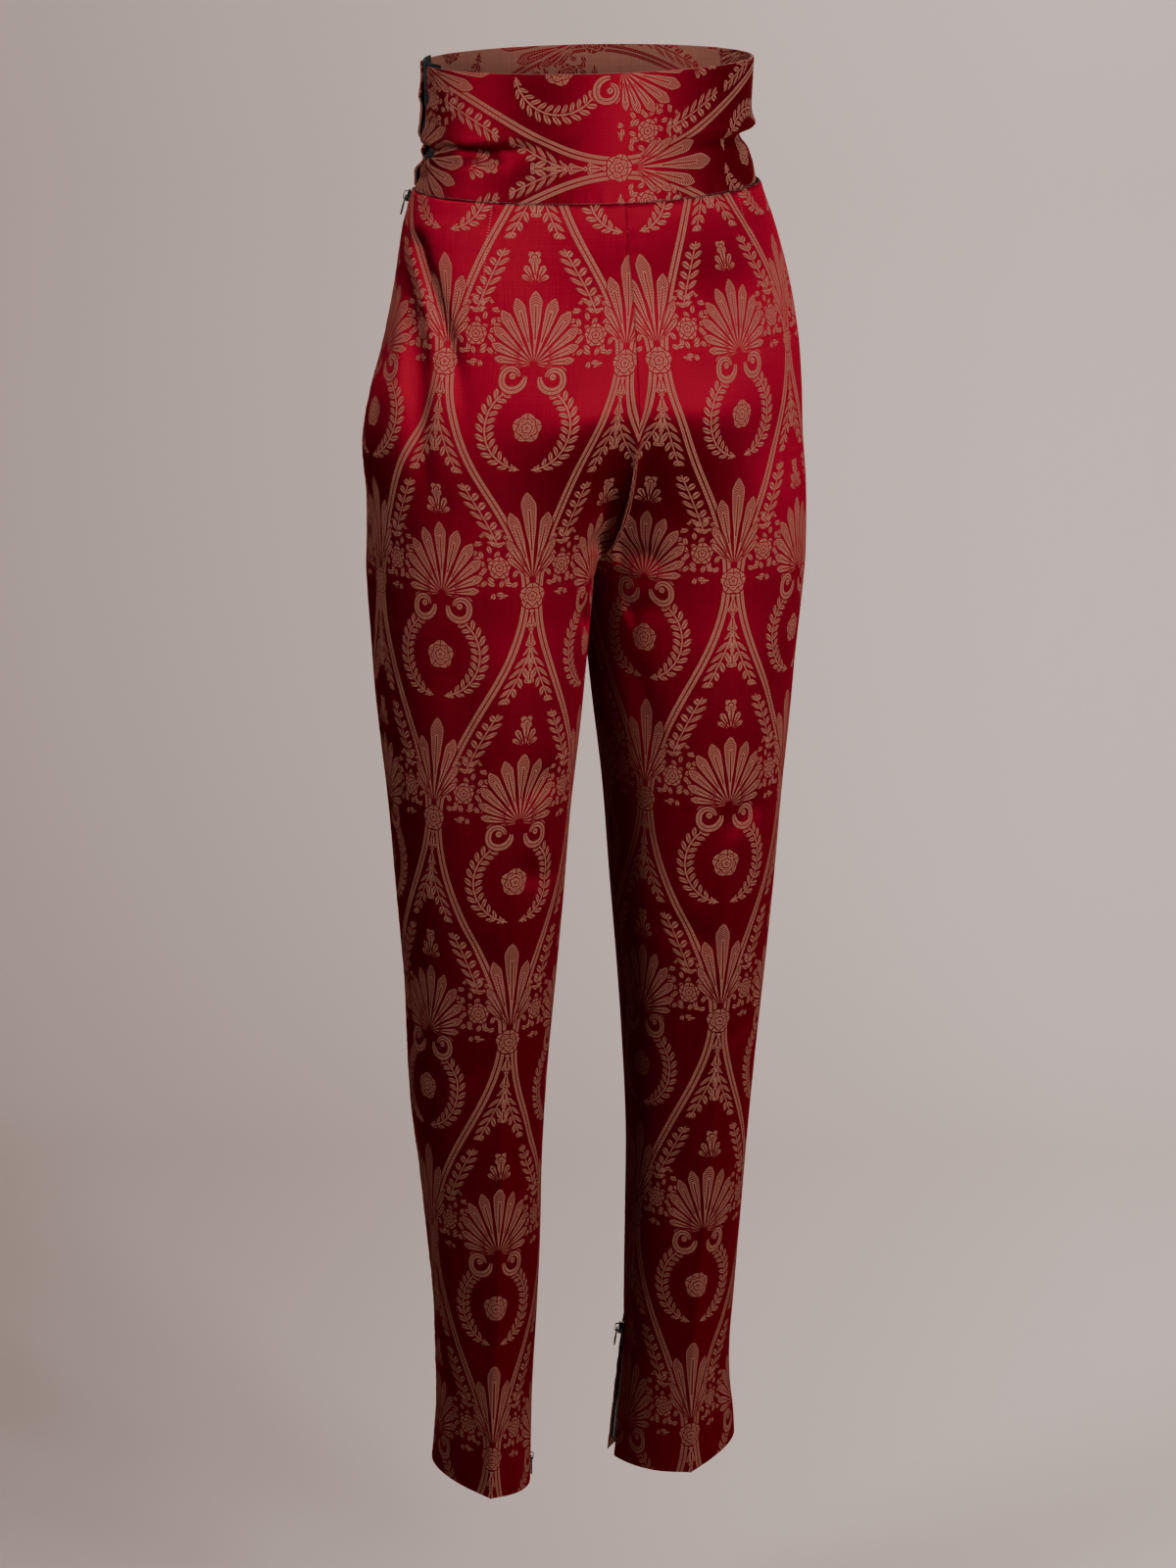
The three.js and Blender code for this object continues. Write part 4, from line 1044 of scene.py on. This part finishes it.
def motif(name, draw):
    """A node group that holds one motif. draw is given the group's x and y, in mm, and
    the result is used like a function of two fields."""
    group = bpy.data.node_groups.new(name, "ShaderNodeTree")
    for axis in ("x", "y"):
        group.interface.new_socket(axis, in_out="INPUT", socket_type="NodeSocketFloat")
    group.interface.new_socket("inside", in_out="OUTPUT", socket_type="NodeSocketFloat")
    start = group.nodes.new("NodeGroupInput")
    add_node(group, "NodeGroupOutput", draw(*(Field(group, socket) for socket in start.outputs[:2])))
    return lambda x, y: placed(group, x, y)


def placed(group, x, y):
    """One use of a motif's group at coordinates x and y."""
    node = x.tree.nodes.new("ShaderNodeGroup")
    node.node_tree = group
    x.tree.links.new(x.socket, node.inputs[0])
    x.tree.links.new(y.socket, node.inputs[1])
    node.location = max(x.socket.node.location.x, y.socket.node.location.x) + 190, 300
    return Field(x.tree, node.outputs[0])


# %% Motifs of the damask
ACROSS, DROP = 70, 175                # half the pattern's width, and half its height, in mm
PETAL = ((0, 0.22), (0.35, 0.26), (0.62, 0.38), (0.80, 0.38), (0.93, 0.22), (1, 0.02))
BELL = ((0, 0.5), (0.1, 1.9), (0.2, 0.9), (0.35, 1.4), (0.7, 3.0), (0.9, 4.1), (1, 0.2))


def over(top, below, gap=0.9):
    """One motif in front of another, with a narrow line of ground left round it."""
    return high(top, low(below, -gap - top))


def ogee(p, y):
    """Distance from the wave p = 35 + 30 cos(pi y / 175), square to it: the distance
    across, divided by the length of the wave's slope."""
    turn = y * (np.pi / DROP)
    slope = sine(turn) * (30 * np.pi / DROP)
    return (p - 35 - cosine(turn) * 30) / root(slope * slope + 1)


def sprig(s, n, length, gap, slant, leaf, plump, stem):
    """A stem with leaves on both sides. s runs along it and n away from it. Each leaf is
    a lens that leaves the stem at a slant, and the curve leaf gives its length by s."""
    side = size(n)
    start = s - side * slant
    share = side / by_curve(start, 0, length, leaf)
    across = size(wrap(start + side * side * 0.03, 0, gap) - gap / 2)
    lens = share * (1 - share) * (4 * plump) - across * 0.8
    return low(high(low(lens, across - 0.33), stem - side), low(length - s, s))


def palmette(x, y, step, limit, reach):
    """A fan of petals, each drawn about its own middle angle: a drop that is widest at
    two thirds of its length, with a vein left in the ground's colour."""
    rho = root(x * x + y * y)
    fan = angle_of(x, y) / step
    middle = whole(fan + 0.5)
    away = size(fan - middle) * rho * step
    length = by_curve(middle * step, 0, limit, reach)
    t = rho / length
    drop = by_curve(t, 0, 1, PETAL) * rho * step - away
    vein = high(size(t - 0.56) * 40 - 9, away - 0.4)
    return low(low(low(drop, vein), length - rho), low((limit - middle * step) * 20, rho - 3))


def rosette(x, y, radius):
    """Rings of round petals, each ring turned against the one outside it."""
    rho = root(x * x + y * y)
    turn = angle_of(x, y) * 2.5
    lobes, rest = size(cosine(turn)), size(sine(turn))
    outline = lobes * (radius * 0.16) + radius * 0.84 - rho
    first = size(rho - radius * 0.56 - rest * (radius * 0.18))
    second = size(rho - radius * 0.28 - lobes * (radius * 0.10))
    notch = high(rest * rho * 0.4 - 0.35, radius * 0.62 - rho)
    lines = low(low(first, second), size(rho - radius * 0.09) + 0.1)
    return low(low(outline, lines - 0.4), notch)


def curl(x, y, radii, widths):
    """A scroll with a ball at its middle: a band round a centre whose radius and half
    width follow the turn."""
    rho = root(x * x + y * y)
    turn = angle_of(y, x)
    away = size(rho - by_curve(turn, -np.pi, np.pi, radii))
    return high(low(by_curve(turn, -np.pi, np.pi, widths) - away, away - 0.28), 2.4 - rho)


def chain(side, drop, length):
    """Bell flowers one under another: a profile turned about an axis, every 14 mm."""
    phase = wrap(drop, 0, 14)
    bell = by_curve(phase, 0, 14, BELL) - side
    rib = high(side - 0.4, size(phase - 8) - 3.5)
    return low(low(bell, rib), low(drop, length - drop))


def bush(x, y, reach):
    """Small veined leaves thrown together round a place, each turned its own way."""
    u, w, turn = cells(x, y, 6.4, 0.8)
    lengthwise = u * cosine(turn) + w * sine(turn)
    across = size(w * cosine(turn) - u * sine(turn))
    leaf = low(1.75 - lengthwise * lengthwise * 0.15 - across, across - 0.2)
    return low(leaf, reach - root(x * x + y * y * 0.5))


def quatrefoil(x, y, radius):
    """Four round lobes with a ring cut in them."""
    rho = root(x * x + y * y)
    outline = size(sine(angle_of(x, y) * 2)) * (radius * 0.45) + radius * 0.55 - rho
    return low(outline, size(rho - radius * 0.4) - 0.4)


# %% The motifs set out in one repeat
def damask(along, down):
    """The whole design from a place on the flat cloth. The place is first folded into
    one corner of the repeat, where every motif is drawn once."""
    fold = size(wrap(along, -ACROSS, ACROSS))
    row = wrap(down, -DROP / 2, DROP * 1.5)
    second = beyond(row, DROP / 2)
    p = fold + (ACROSS - fold * 2) * second
    y = second * DROP - row
    side = ACROSS - p
    strap = ogee(p, y)
    field = low(3.0 - size(strap), size(strap) - 0.5)
    field = high(field, motif("leaf garland", lambda x, z: sprig(
        x, z, 46, 7.4, 0.9, ((0, 7), (0.5, 8), (0.85, 5), (1, 0.3)), 1.9, 0.6))(y - 40, strap + 12.5))
    field = high(field, motif("low garland", lambda x, z: sprig(
        x, z, 48, 7.8, -0.9, ((0, 0.3), (0.15, 5), (0.6, 7), (0.9, 4), (1, 0.3)), 2.0, 0.6))(
            y + 82, strap - 11.5))
    field = high(field, motif("leaf thicket", lambda x, z: bush(x, z, 19))(p - 43, y - 25))
    wreath_y = y + 46
    from_top = angle_of(p, wreath_y)
    field = over(motif("laurel", lambda x, z: sprig(
        x, z, 88, 6.6, 0.9, ((0, 2), (0.3, 8), (0.75, 7.5), (0.93, 3), (1, 0.3)), 1.9, 0.7))(
            99 - from_top * 33, root(p * p + wreath_y * wreath_y) - 32), field)
    field = high(field, motif("wreath rose", lambda x, z: rosette(x, z, 11))(p, wreath_y))
    field = over(motif("strap rose", lambda x, z: rosette(x, z, 8.5))(p - 45, y - 22), field)
    field = over(motif("palmette", lambda x, z: palmette(
        x, z, 0.29, 1.75, ((0, 54), (0.35, 46), (0.7, 34), (1, 25))))(p, y - 1), field)
    field = over(motif("scroll foot", lambda x, z: curl(
        x, z, ((0, 9.5), (0.25, 10.5), (0.5, 7.5), (0.75, 5.2), (1, 4.6)),
        ((0, 1.4), (0.2, 2.6), (0.6, 2.2), (1, 1.2))))(p - 15, y + 8), field)
    field = high(field, motif("bell flowers", lambda x, z: chain(x, z, 56))(side, -10 - y))
    field = over(motif("pointed fan", lambda x, z: palmette(
        x, z, 0.27, 0.9, ((0, 68), (0.3, 54), (0.6, 36), (1, 22))))(side, y - 12), field)
    field = over(motif("knot", lambda x, z: rosette(x, z, 10))(side, y), field)
    field = high(field, motif("bud", lambda x, z: palmette(
        x, z, 0.5, 1.1, ((0, 20), (0.5, 15), (1, 11))))(p, y - 60))
    field = high(field, motif("quatrefoil", lambda x, z: quatrefoil(x, z, 5.5))(p, y - 79.5))
    hatch = size(wrap(p * 0.6 + y, 0, 1.9) - 0.95) - 0.34
    return low(field, high(hatch, 1.1 - field)) - THIN


# %% [markdown]
# ## Cloth materials
#
# Satin throws light in a band that runs across its long threads, as brushed metal does.
# That is anisotropy, and it needs a direction at every point, which the flat cloth's
# own UV map gives. On the panels the long threads run down the leg. On the waistband,
# which is cut the other way, they run round the body, so its shine stands upright.
# The inside of the cloth shows the damask's reverse: figure and ground change places.

# %% Damask materials
GROUND, FIGURE = (0.12, 0.0026, 0.0090, 1), (0.125, 0.052, 0.037, 1)
PATTERN_TOP = {"panel": (0, 118), "band": (96, 5)}      # where a repeat starts, in mm
THIN = 0.12                                 # taken off every figure's edge, in mm
design = motif("damask", damask)


def texture(tree, kind, vector, **settings):
    """A texture node read at a vector, with its inputs set by name."""
    node = add_node(tree, kind, Field(tree, vector))
    for name, value in settings.items():
        node.inputs[name].default_value = value
    return node


def mixed(tree, amount, first, second, kind="RGBA", blend="MIX"):
    """A Mix node for colours, or for numbers with kind FLOAT."""
    node = tree.nodes.new("ShaderNodeMix")
    node.data_type, node.blend_type = kind, blend
    sockets = [node.inputs[k] for k in ((0, 6, 7) if kind == "RGBA" else (0, 2, 3))]
    for socket, value in zip(sockets, (amount, first, second)):
        if isinstance(value, Field):
            tree.links.new(value.socket, socket)
        else:
            socket.default_value = value
    return Field(tree, node.outputs[2 if kind == "RGBA" else 0])


def damask_material(name, place, turned=False, reverse=False):
    """Red satin with matt figures. Colour, roughness and metal follow the design, and
    fine streaks follow the threads."""
    material = bpy.data.materials.new(name)
    material.use_nodes = True
    tree = material.node_tree
    shader = tree.nodes["Principled BSDF"]
    uv = tree.nodes.new("ShaderNodeUVMap")
    uv.uv_map = "cloth"
    flat = add_node(tree, "ShaderNodeSeparateXYZ", Field(tree, uv.outputs[0]))
    across, down = (Field(tree, flat.outputs[k]) * 1000 for k in (0, 1))
    if turned:
        across, down = down * -1, across
    inside = design(across - place[0], down - place[1])
    cover = sum_node("MULTIPLY_ADD", inside, 3, 0.5)
    cover.socket.node.use_clamp = True
    if reverse:
        cover = 1 - cover
    threads = add_node(tree, "ShaderNodeCombineXYZ", across * 0.9, down * 0.022)
    streak = texture(tree, "ShaderNodeTexNoise", threads.outputs[0], Scale=1.0, Detail=3.0)
    slubs = add_node(tree, "ShaderNodeCombineXYZ", across * 0.02, down * 0.7)
    slub = texture(tree, "ShaderNodeTexNoise", slubs.outputs[0], Scale=1.0, Detail=2.0)
    uneven = Field(tree, streak.outputs[0]) + Field(tree, slub.outputs[0]) * 0.7
    colour = mixed(tree, cover, GROUND, FIGURE)
    shade = sum_node("MULTIPLY_ADD", uneven, 0.5, 0.57)
    grey = add_node(tree, "ShaderNodeCombineColor", shade, shade, shade)
    colour = mixed(tree, 1.0, colour, Field(tree, grey.outputs[0]), blend="MULTIPLY")
    tree.links.new(colour.socket, shader.inputs["Base Color"])
    tree.links.new(mixed(tree, cover, 0.93, 0.0, "FLOAT").socket, shader.inputs["Metallic"])
    ground_rough = 0.66 if turned else 0.64
    rough = mixed(tree, cover, ground_rough, 0.76, "FLOAT") + (uneven - 0.85) * 0.12
    tree.links.new(rough.socket, shader.inputs["Roughness"])
    shader.inputs["Anisotropic"].default_value = 0.58 if turned else 0.82
    shader.inputs["Specular IOR Level"].default_value = 0.45
    shader.inputs["Specular Tint"].default_value = (0.6, 0.12, 0.10, 1)
    shader.inputs["Anisotropic Rotation"].default_value = 0.25 if turned else 0.0
    tangent = tree.nodes.new("ShaderNodeTangent")
    tangent.direction_type = "UV_MAP"
    tangent.uv_map = "cloth"
    tree.links.new(tangent.outputs[0], shader.inputs["Tangent"])
    ribs = sine(down * (2 * np.pi / 0.9)) * 0.5 + sine(across * (2 * np.pi / 0.7)) * 0.5
    bump = tree.nodes.new("ShaderNodeBump")
    bump.inputs["Strength"].default_value = 0.25
    bump.inputs["Distance"].default_value = 0.0002
    tree.links.new((uneven + ribs * 0.25).socket, bump.inputs["Height"])
    tree.links.new(bump.outputs[0], shader.inputs["Normal"])
    return material


panel_right_side = damask_material("damask_panels", PATTERN_TOP["panel"])
panel_reverse = damask_material("damask_panels_reverse", PATTERN_TOP["panel"], reverse=True)
band_right_side = damask_material("damask_waistband", PATTERN_TOP["band"], turned=True)
band_reverse = damask_material("damask_waistband_reverse", PATTERN_TOP["band"], turned=True, reverse=True)
print("damask nodes:", sum(len(group.nodes) for group in bpy.data.node_groups))


# %% Tape, metal and thread
def plain_material(name, roughness=0.5, metallic=0.0, colour=None):
    """A Principled material. A colour that is left out is joined to nodes later."""
    material = bpy.data.materials.new(name)
    material.use_nodes = True
    shader = material.node_tree.nodes["Principled BSDF"]
    if colour:
        shader.inputs["Base Color"].default_value = (*colour, 1)
    shader.inputs["Roughness"].default_value = roughness
    shader.inputs["Metallic"].default_value = metallic
    return material, material.node_tree, shader


def bumped(tree, shader, height, distance):
    """Relief from a field of heights, this many metres deep."""
    bump = tree.nodes.new("ShaderNodeBump")
    bump.inputs["Strength"].default_value = 1.0
    bump.inputs["Distance"].default_value = distance
    tree.links.new(height.socket, bump.inputs["Height"])
    tree.links.new(bump.outputs[0], shader.inputs["Normal"])


tape_material, tree, shader = plain_material("black_herringbone_tape", 0.82)
uv = tree.nodes.new("ShaderNodeUVMap")
uv.uv_map = "cloth"
flat = add_node(tree, "ShaderNodeSeparateXYZ", Field(tree, uv.outputs[0]))
tape_x, tape_y = (Field(tree, flat.outputs[k]) * 1000 for k in (0, 1))
zigzag = size(wrap(tape_x, -1.5, 1.5))
twill = sine((tape_y + zigzag) * (2 * np.pi / 0.9)) * 0.5 + 0.5
bumped(tree, shader, twill, 0.0003)
# Painted highlight: the black tape's colour is a little lighter along the twill's raised lines, where its
# relief stands highest.
twill_painted_highlight = mixed(tree, twill * 0.6, (0.004, 0.004, 0.005, 1), (0.012, 0.011, 0.012, 1))
tree.links.new(twill_painted_highlight.socket, shader.inputs["Base Color"])
shader.inputs["Specular IOR Level"].default_value = 0.15

metal, tree, shader = plain_material("blackened_metal", metallic=1.0)
coordinates = tree.nodes.new("ShaderNodeTexCoord")
scratches = add_node(tree, "ShaderNodeMapping", Field(tree, coordinates.outputs["Object"]))
scratches.inputs["Scale"].default_value = (900, 900, 120)
grain = texture(tree, "ShaderNodeTexNoise", scratches.outputs[0], Scale=1.0, Detail=3.0)
dull = texture(tree, "ShaderNodeTexNoise", coordinates.outputs["Object"], Scale=260.0, Detail=2.0)
polish = sum_node("MULTIPLY_ADD", Field(tree, dull.outputs[0]), 0.3, 0.16)
tree.links.new(polish.socket, shader.inputs["Roughness"])
worn = mixed(tree, Field(tree, dull.outputs[0]), (0.075, 0.073, 0.072, 1), (0.022, 0.021, 0.022, 1))
tree.links.new(worn.socket, shader.inputs["Base Color"])
bumped(tree, shader, Field(tree, grain.outputs[0]), 0.00003)

threads = {}
for name, colour in (("seam_thread", (0.030, 0.004, 0.005)), ("dart_thread", (0.16, 0.055, 0.035))):
    threads[name], tree, shader = plain_material(name, 0.6, colour=colour)
    coordinates = tree.nodes.new("ShaderNodeTexCoord")
    twist = texture(tree, "ShaderNodeTexNoise", coordinates.outputs["Object"], Scale=2500.0, Detail=1.0)
    bumped(tree, shader, Field(tree, twist.outputs[0]), 0.00008)


# %% [markdown]
# ## Materials and bodies
#
# Only the three pull tabs move, so each rides its own body, and everything else rides
# the garment.

# %% Materials and bodies of every piece
PULL_BODIES = {"side_zip_pull": "side_pull", "left_ankle_pull": "left_ankle_tab",
               "right_ankle_pull": "right_ankle_tab"}


def kind_of(name):
    """What a piece is made of, by the first of these words that is in its name."""
    for word, kind in (("stitches", "thread"), ("tape", "tape"), ("underlap", "tape"),
                       ("waistband", "band"), ("front", "panel"), ("back", "panel")):
        if word in name and "teeth" not in name:
            return kind
    return "metal"


def area_of(points):
    """Half the length of the cross product of each cell's diagonals, in square metres."""
    a, b = points[1:, 1:] - points[:-1, :-1], points[1:, :-1] - points[:-1, 1:]
    return np.linalg.norm(np.cross(a, b), axis=-1).sum() / 2e6


FACES = {"panel": (panel_right_side, panel_reverse), "band": (band_right_side, band_reverse),
         "tape": (tape_material,), "metal": (metal,)}
for name, piece in pieces.items():
    kind = kind_of(name)
    for material in FACES.get(kind, (threads["dart_thread" if "dart" in name else "seam_thread"],)):
        piece.data.materials.append(material)
    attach(piece, PULL_BODIES.get(name, "garment"))
    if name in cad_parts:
        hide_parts(name)
print("CAD nodes still shown:", sorted(set(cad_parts) - set(pieces)))

stitched = {"back_left": "dart_stitches_left", "back_right": "dart_stitches_right"}
for name, cloth in cut.items():
    width, length = np.ptp(cloth["along"]) / 1000, cloth["down"].max() / 1000
    round(area_of(cloth["points"]), 4)
    [pieces[stitched[name]]] if name in stitched else ()
for name, cloth in (("waistband_back", back), ("waistband_front", front)):
    pieces["waist_stitches_" + name.split("_")[1]]
for name, piece in pieces.items():
    if kind_of(name) == "tape":
        size_flat = np.zeros(len(piece.data.loops) * 2, np.float32)
        piece.data.uv_layers["cloth"].data.foreach_get("uv", size_flat)
        "waistband_back_cloth" if "underlap" in name else TAPES[name][1] + "_cloth"


# %% [markdown]
# ## Camera, floor and light
#
# The camera stands behind the wearer's left shoulder, a little above the waist, with a
# long lens. A satin's shine depends on where the light is more than on how strong it
# is. The key, a large soft box, stands to the camera's right, low enough to catch the
# seat, which tilts up, and to leave the legs, which don't, in their deep red. Smaller
# lamps lift the hip, the lower legs and the shaded side, one lights the paper, and one
# lights the trousers from the wearer's front for views from there. A spread below 180
# degrees narrows a soft box's beam and makes it brighter, so its watts are few.

# %% Camera
CAMERA_PLACE = np.array((1.3978, 3.8544, 0.550))
CAMERA_TURN, CAMERA_PITCH = np.arctan2(0.940, 0.342), np.radians(14.3)


def aimed(thing, place, direction):
    """Puts a lamp or camera at a place, with its -Z along a direction."""
    thing.location = place
    thing.rotation_euler = Vector(direction).to_track_quat("-Z", "Y").to_euler()
    bpy.context.scene.collection.objects.link(thing)
    return thing


lens = bpy.data.cameras.new("camera")
lens.lens, lens.sensor_width = 126, 36
look = (-np.cos(CAMERA_TURN) * np.cos(CAMERA_PITCH), -np.sin(CAMERA_TURN) * np.cos(CAMERA_PITCH),
        -np.sin(CAMERA_PITCH))
bpy.context.scene.camera = aimed(bpy.data.objects.new("camera", lens), CAMERA_PLACE, look)


# %% Soft boxes
def round_from_camera(degrees, distance, height):
    """A place round the trousers, counted from the camera towards its right."""
    angle = CAMERA_TURN + np.radians(degrees)
    return np.array((distance * np.cos(angle), distance * np.sin(angle), height))


def soft_box(name, place, target, width, height, power, colour=(1, 1, 1), spread=180):
    """A rectangular lamp in metres and watts, turned towards its target."""
    lamp = bpy.data.lights.new(name, "AREA")
    lamp.shape = "RECTANGLE"
    lamp.spread = np.radians(spread)
    lamp.size, lamp.size_y, lamp.energy, lamp.color = width, height, power, colour
    return aimed(bpy.data.objects.new(name, lamp), place, np.subtract(target, place))


WARM = (1, 0.97, 0.95)
soft_box("key", round_from_camera(38, 3.2, 0.12), (0, 0, -0.02), 1.0, 1.2, 35, WARM, spread=75)
soft_box("hip_light", round_from_camera(-50, 2.8, 1.4), (0, 0, -0.08), 0.8, 0.8, 4, WARM, spread=40)
soft_box("low_light", round_from_camera(20, 1.7, -1.1), (0, 0, -0.2), 0.4, 0.3, 0.16, WARM, spread=26)
soft_box("fill", round_from_camera(-55, 3.2, 0.6), (0, 0, -0.4), 1.6, 2.0, 3)
soft_box("backdrop_lamp", round_from_camera(103, 1.33, 1.9), round_from_camera(154, 2.55, 0), 1.6, 0.8, 66)
front_light = soft_box("front_light", round_from_camera(180, 1.35, 0.3), (0, 0, -0.45), 0.9, 1.4, 12, WARM)
front_light.visible_camera = False
# Light linking: this lamp lights the pieces only, not the paper.
lit_from_front = bpy.data.collections.new("lit_from_front")
for piece in pieces.values():
    lit_from_front.objects.link(piece)
front_light.light_linking.receiver_collection = lit_from_front
print("lamps:", sorted(lamp.name for lamp in bpy.data.lights))


# %% [markdown]
# ## The room
#
# The trousers hang before a sheet of paper that lies on the floor and curves up behind
# them. Its colour is graded from a darker left to a lighter right: painted shade on the
# left and painted light on the right, for the light falling off across it. From behind
# it is clear, so that it doesn't hide the trousers from their front. Past its edges the
# world looks pale, but it lights the scene only weakly.

# %% World: a weak glow for light, a pale grey for the eye
world = bpy.data.worlds.new("studio")
bpy.context.scene.world = world
world.use_nodes = True
nodes, links = world.node_tree.nodes, world.node_tree.links
glow, pale = nodes["Background"], nodes.new("ShaderNodeBackground")
glow.inputs["Color"].default_value = (1, 0.95, 0.92, 1)
glow.inputs["Strength"].default_value = 0.03
pale.inputs["Color"].default_value = (0.50, 0.41, 0.38, 1)
choice, ray = nodes.new("ShaderNodeMixShader"), nodes.new("ShaderNodeLightPath")
links.new(ray.outputs["Is Camera Ray"], choice.inputs["Fac"])
links.new(glow.outputs["Background"], choice.inputs[1])
links.new(pale.outputs["Background"], choice.inputs[2])
links.new(choice.outputs["Shader"], nodes["World Output"].inputs["Surface"])


# %% Floor that curves up into the backdrop
FLOOR_Z, BACK_WALL, SWEEP = -1.25, 1.4, 0.9     # metres; the sweep is a quarter circle
FRONT_EDGE, WALL_TOP, HALF_WIDTH = -2, 3.5, 6
turn = np.linspace(0, np.pi / 2, 25)
away = np.concatenate([[FRONT_EDGE], BACK_WALL + SWEEP * np.sin(turn), [BACK_WALL + SWEEP]])
rise = np.concatenate([[FLOOR_Z], FLOOR_Z + SWEEP * (1 - np.cos(turn)), [WALL_TOP]])
ahead = np.array((-np.cos(CAMERA_TURN), -np.sin(CAMERA_TURN)))
sideways = np.array((ahead[1], -ahead[0]))
profile = np.column_stack([away[:, None] * ahead, rise])
sheet_edges = [profile + np.array((*(sideways * x), 0)) for x in (-HALF_WIDTH, HALF_WIDTH)]
vertices = np.stack(sheet_edges, 1).reshape(-1, 3)
start = np.arange(len(profile) - 1) * 2
floor = put_in_scene("floor", vertices * 1000, np.stack([start, start + 1, start + 3, start + 2], -1))
paper, tree, shader = plain_material("backdrop_paper", 0.9)
coordinates = tree.nodes.new("ShaderNodeTexCoord")
clouds = texture(tree, "ShaderNodeTexNoise", coordinates.outputs["Object"], Scale=1.3, Detail=3.0)
# Painted light and shade: the paper is darker to the left and lighter to the right, for the fall-off of the
# light. The clouds add an uneven tone.
place = add_node(tree, "ShaderNodeSeparateXYZ", Field(tree, coordinates.outputs["Object"]))
paper_x, paper_y = (Field(tree, place.outputs[k]) * float(sideways[k]) for k in (0, 1))
painted_falloff_and_clouds = paper_x + paper_y + Field(tree, clouds.outputs[0]) * 0.15
share = add_node(tree, "ShaderNodeMapRange", painted_falloff_and_clouds, -0.95, 0.6, 0, 1)
PAPER_IN_PAINTED_SHADE, PAPER_IN_PAINTED_LIGHT = (0.44, 0.345, 0.305, 1), (0.735, 0.595, 0.55, 1)
paper_with_painted_falloff = mixed(tree, Field(tree, share.outputs[0]), PAPER_IN_PAINTED_SHADE, PAPER_IN_PAINTED_LIGHT)
tree.links.new(paper_with_painted_falloff.socket, shader.inputs["Base Color"])
seen = tree.nodes.new("ShaderNodeNewGeometry")
clear = sum_node("SUBTRACT", 1, Field(tree, seen.outputs["Backfacing"]))
tree.links.new(clear.socket, shader.inputs["Alpha"])
floor.data.materials.append(paper)
print("backdrop faces the camera:", floor.data.polygons[-1].normal @ Vector(look) < 0)
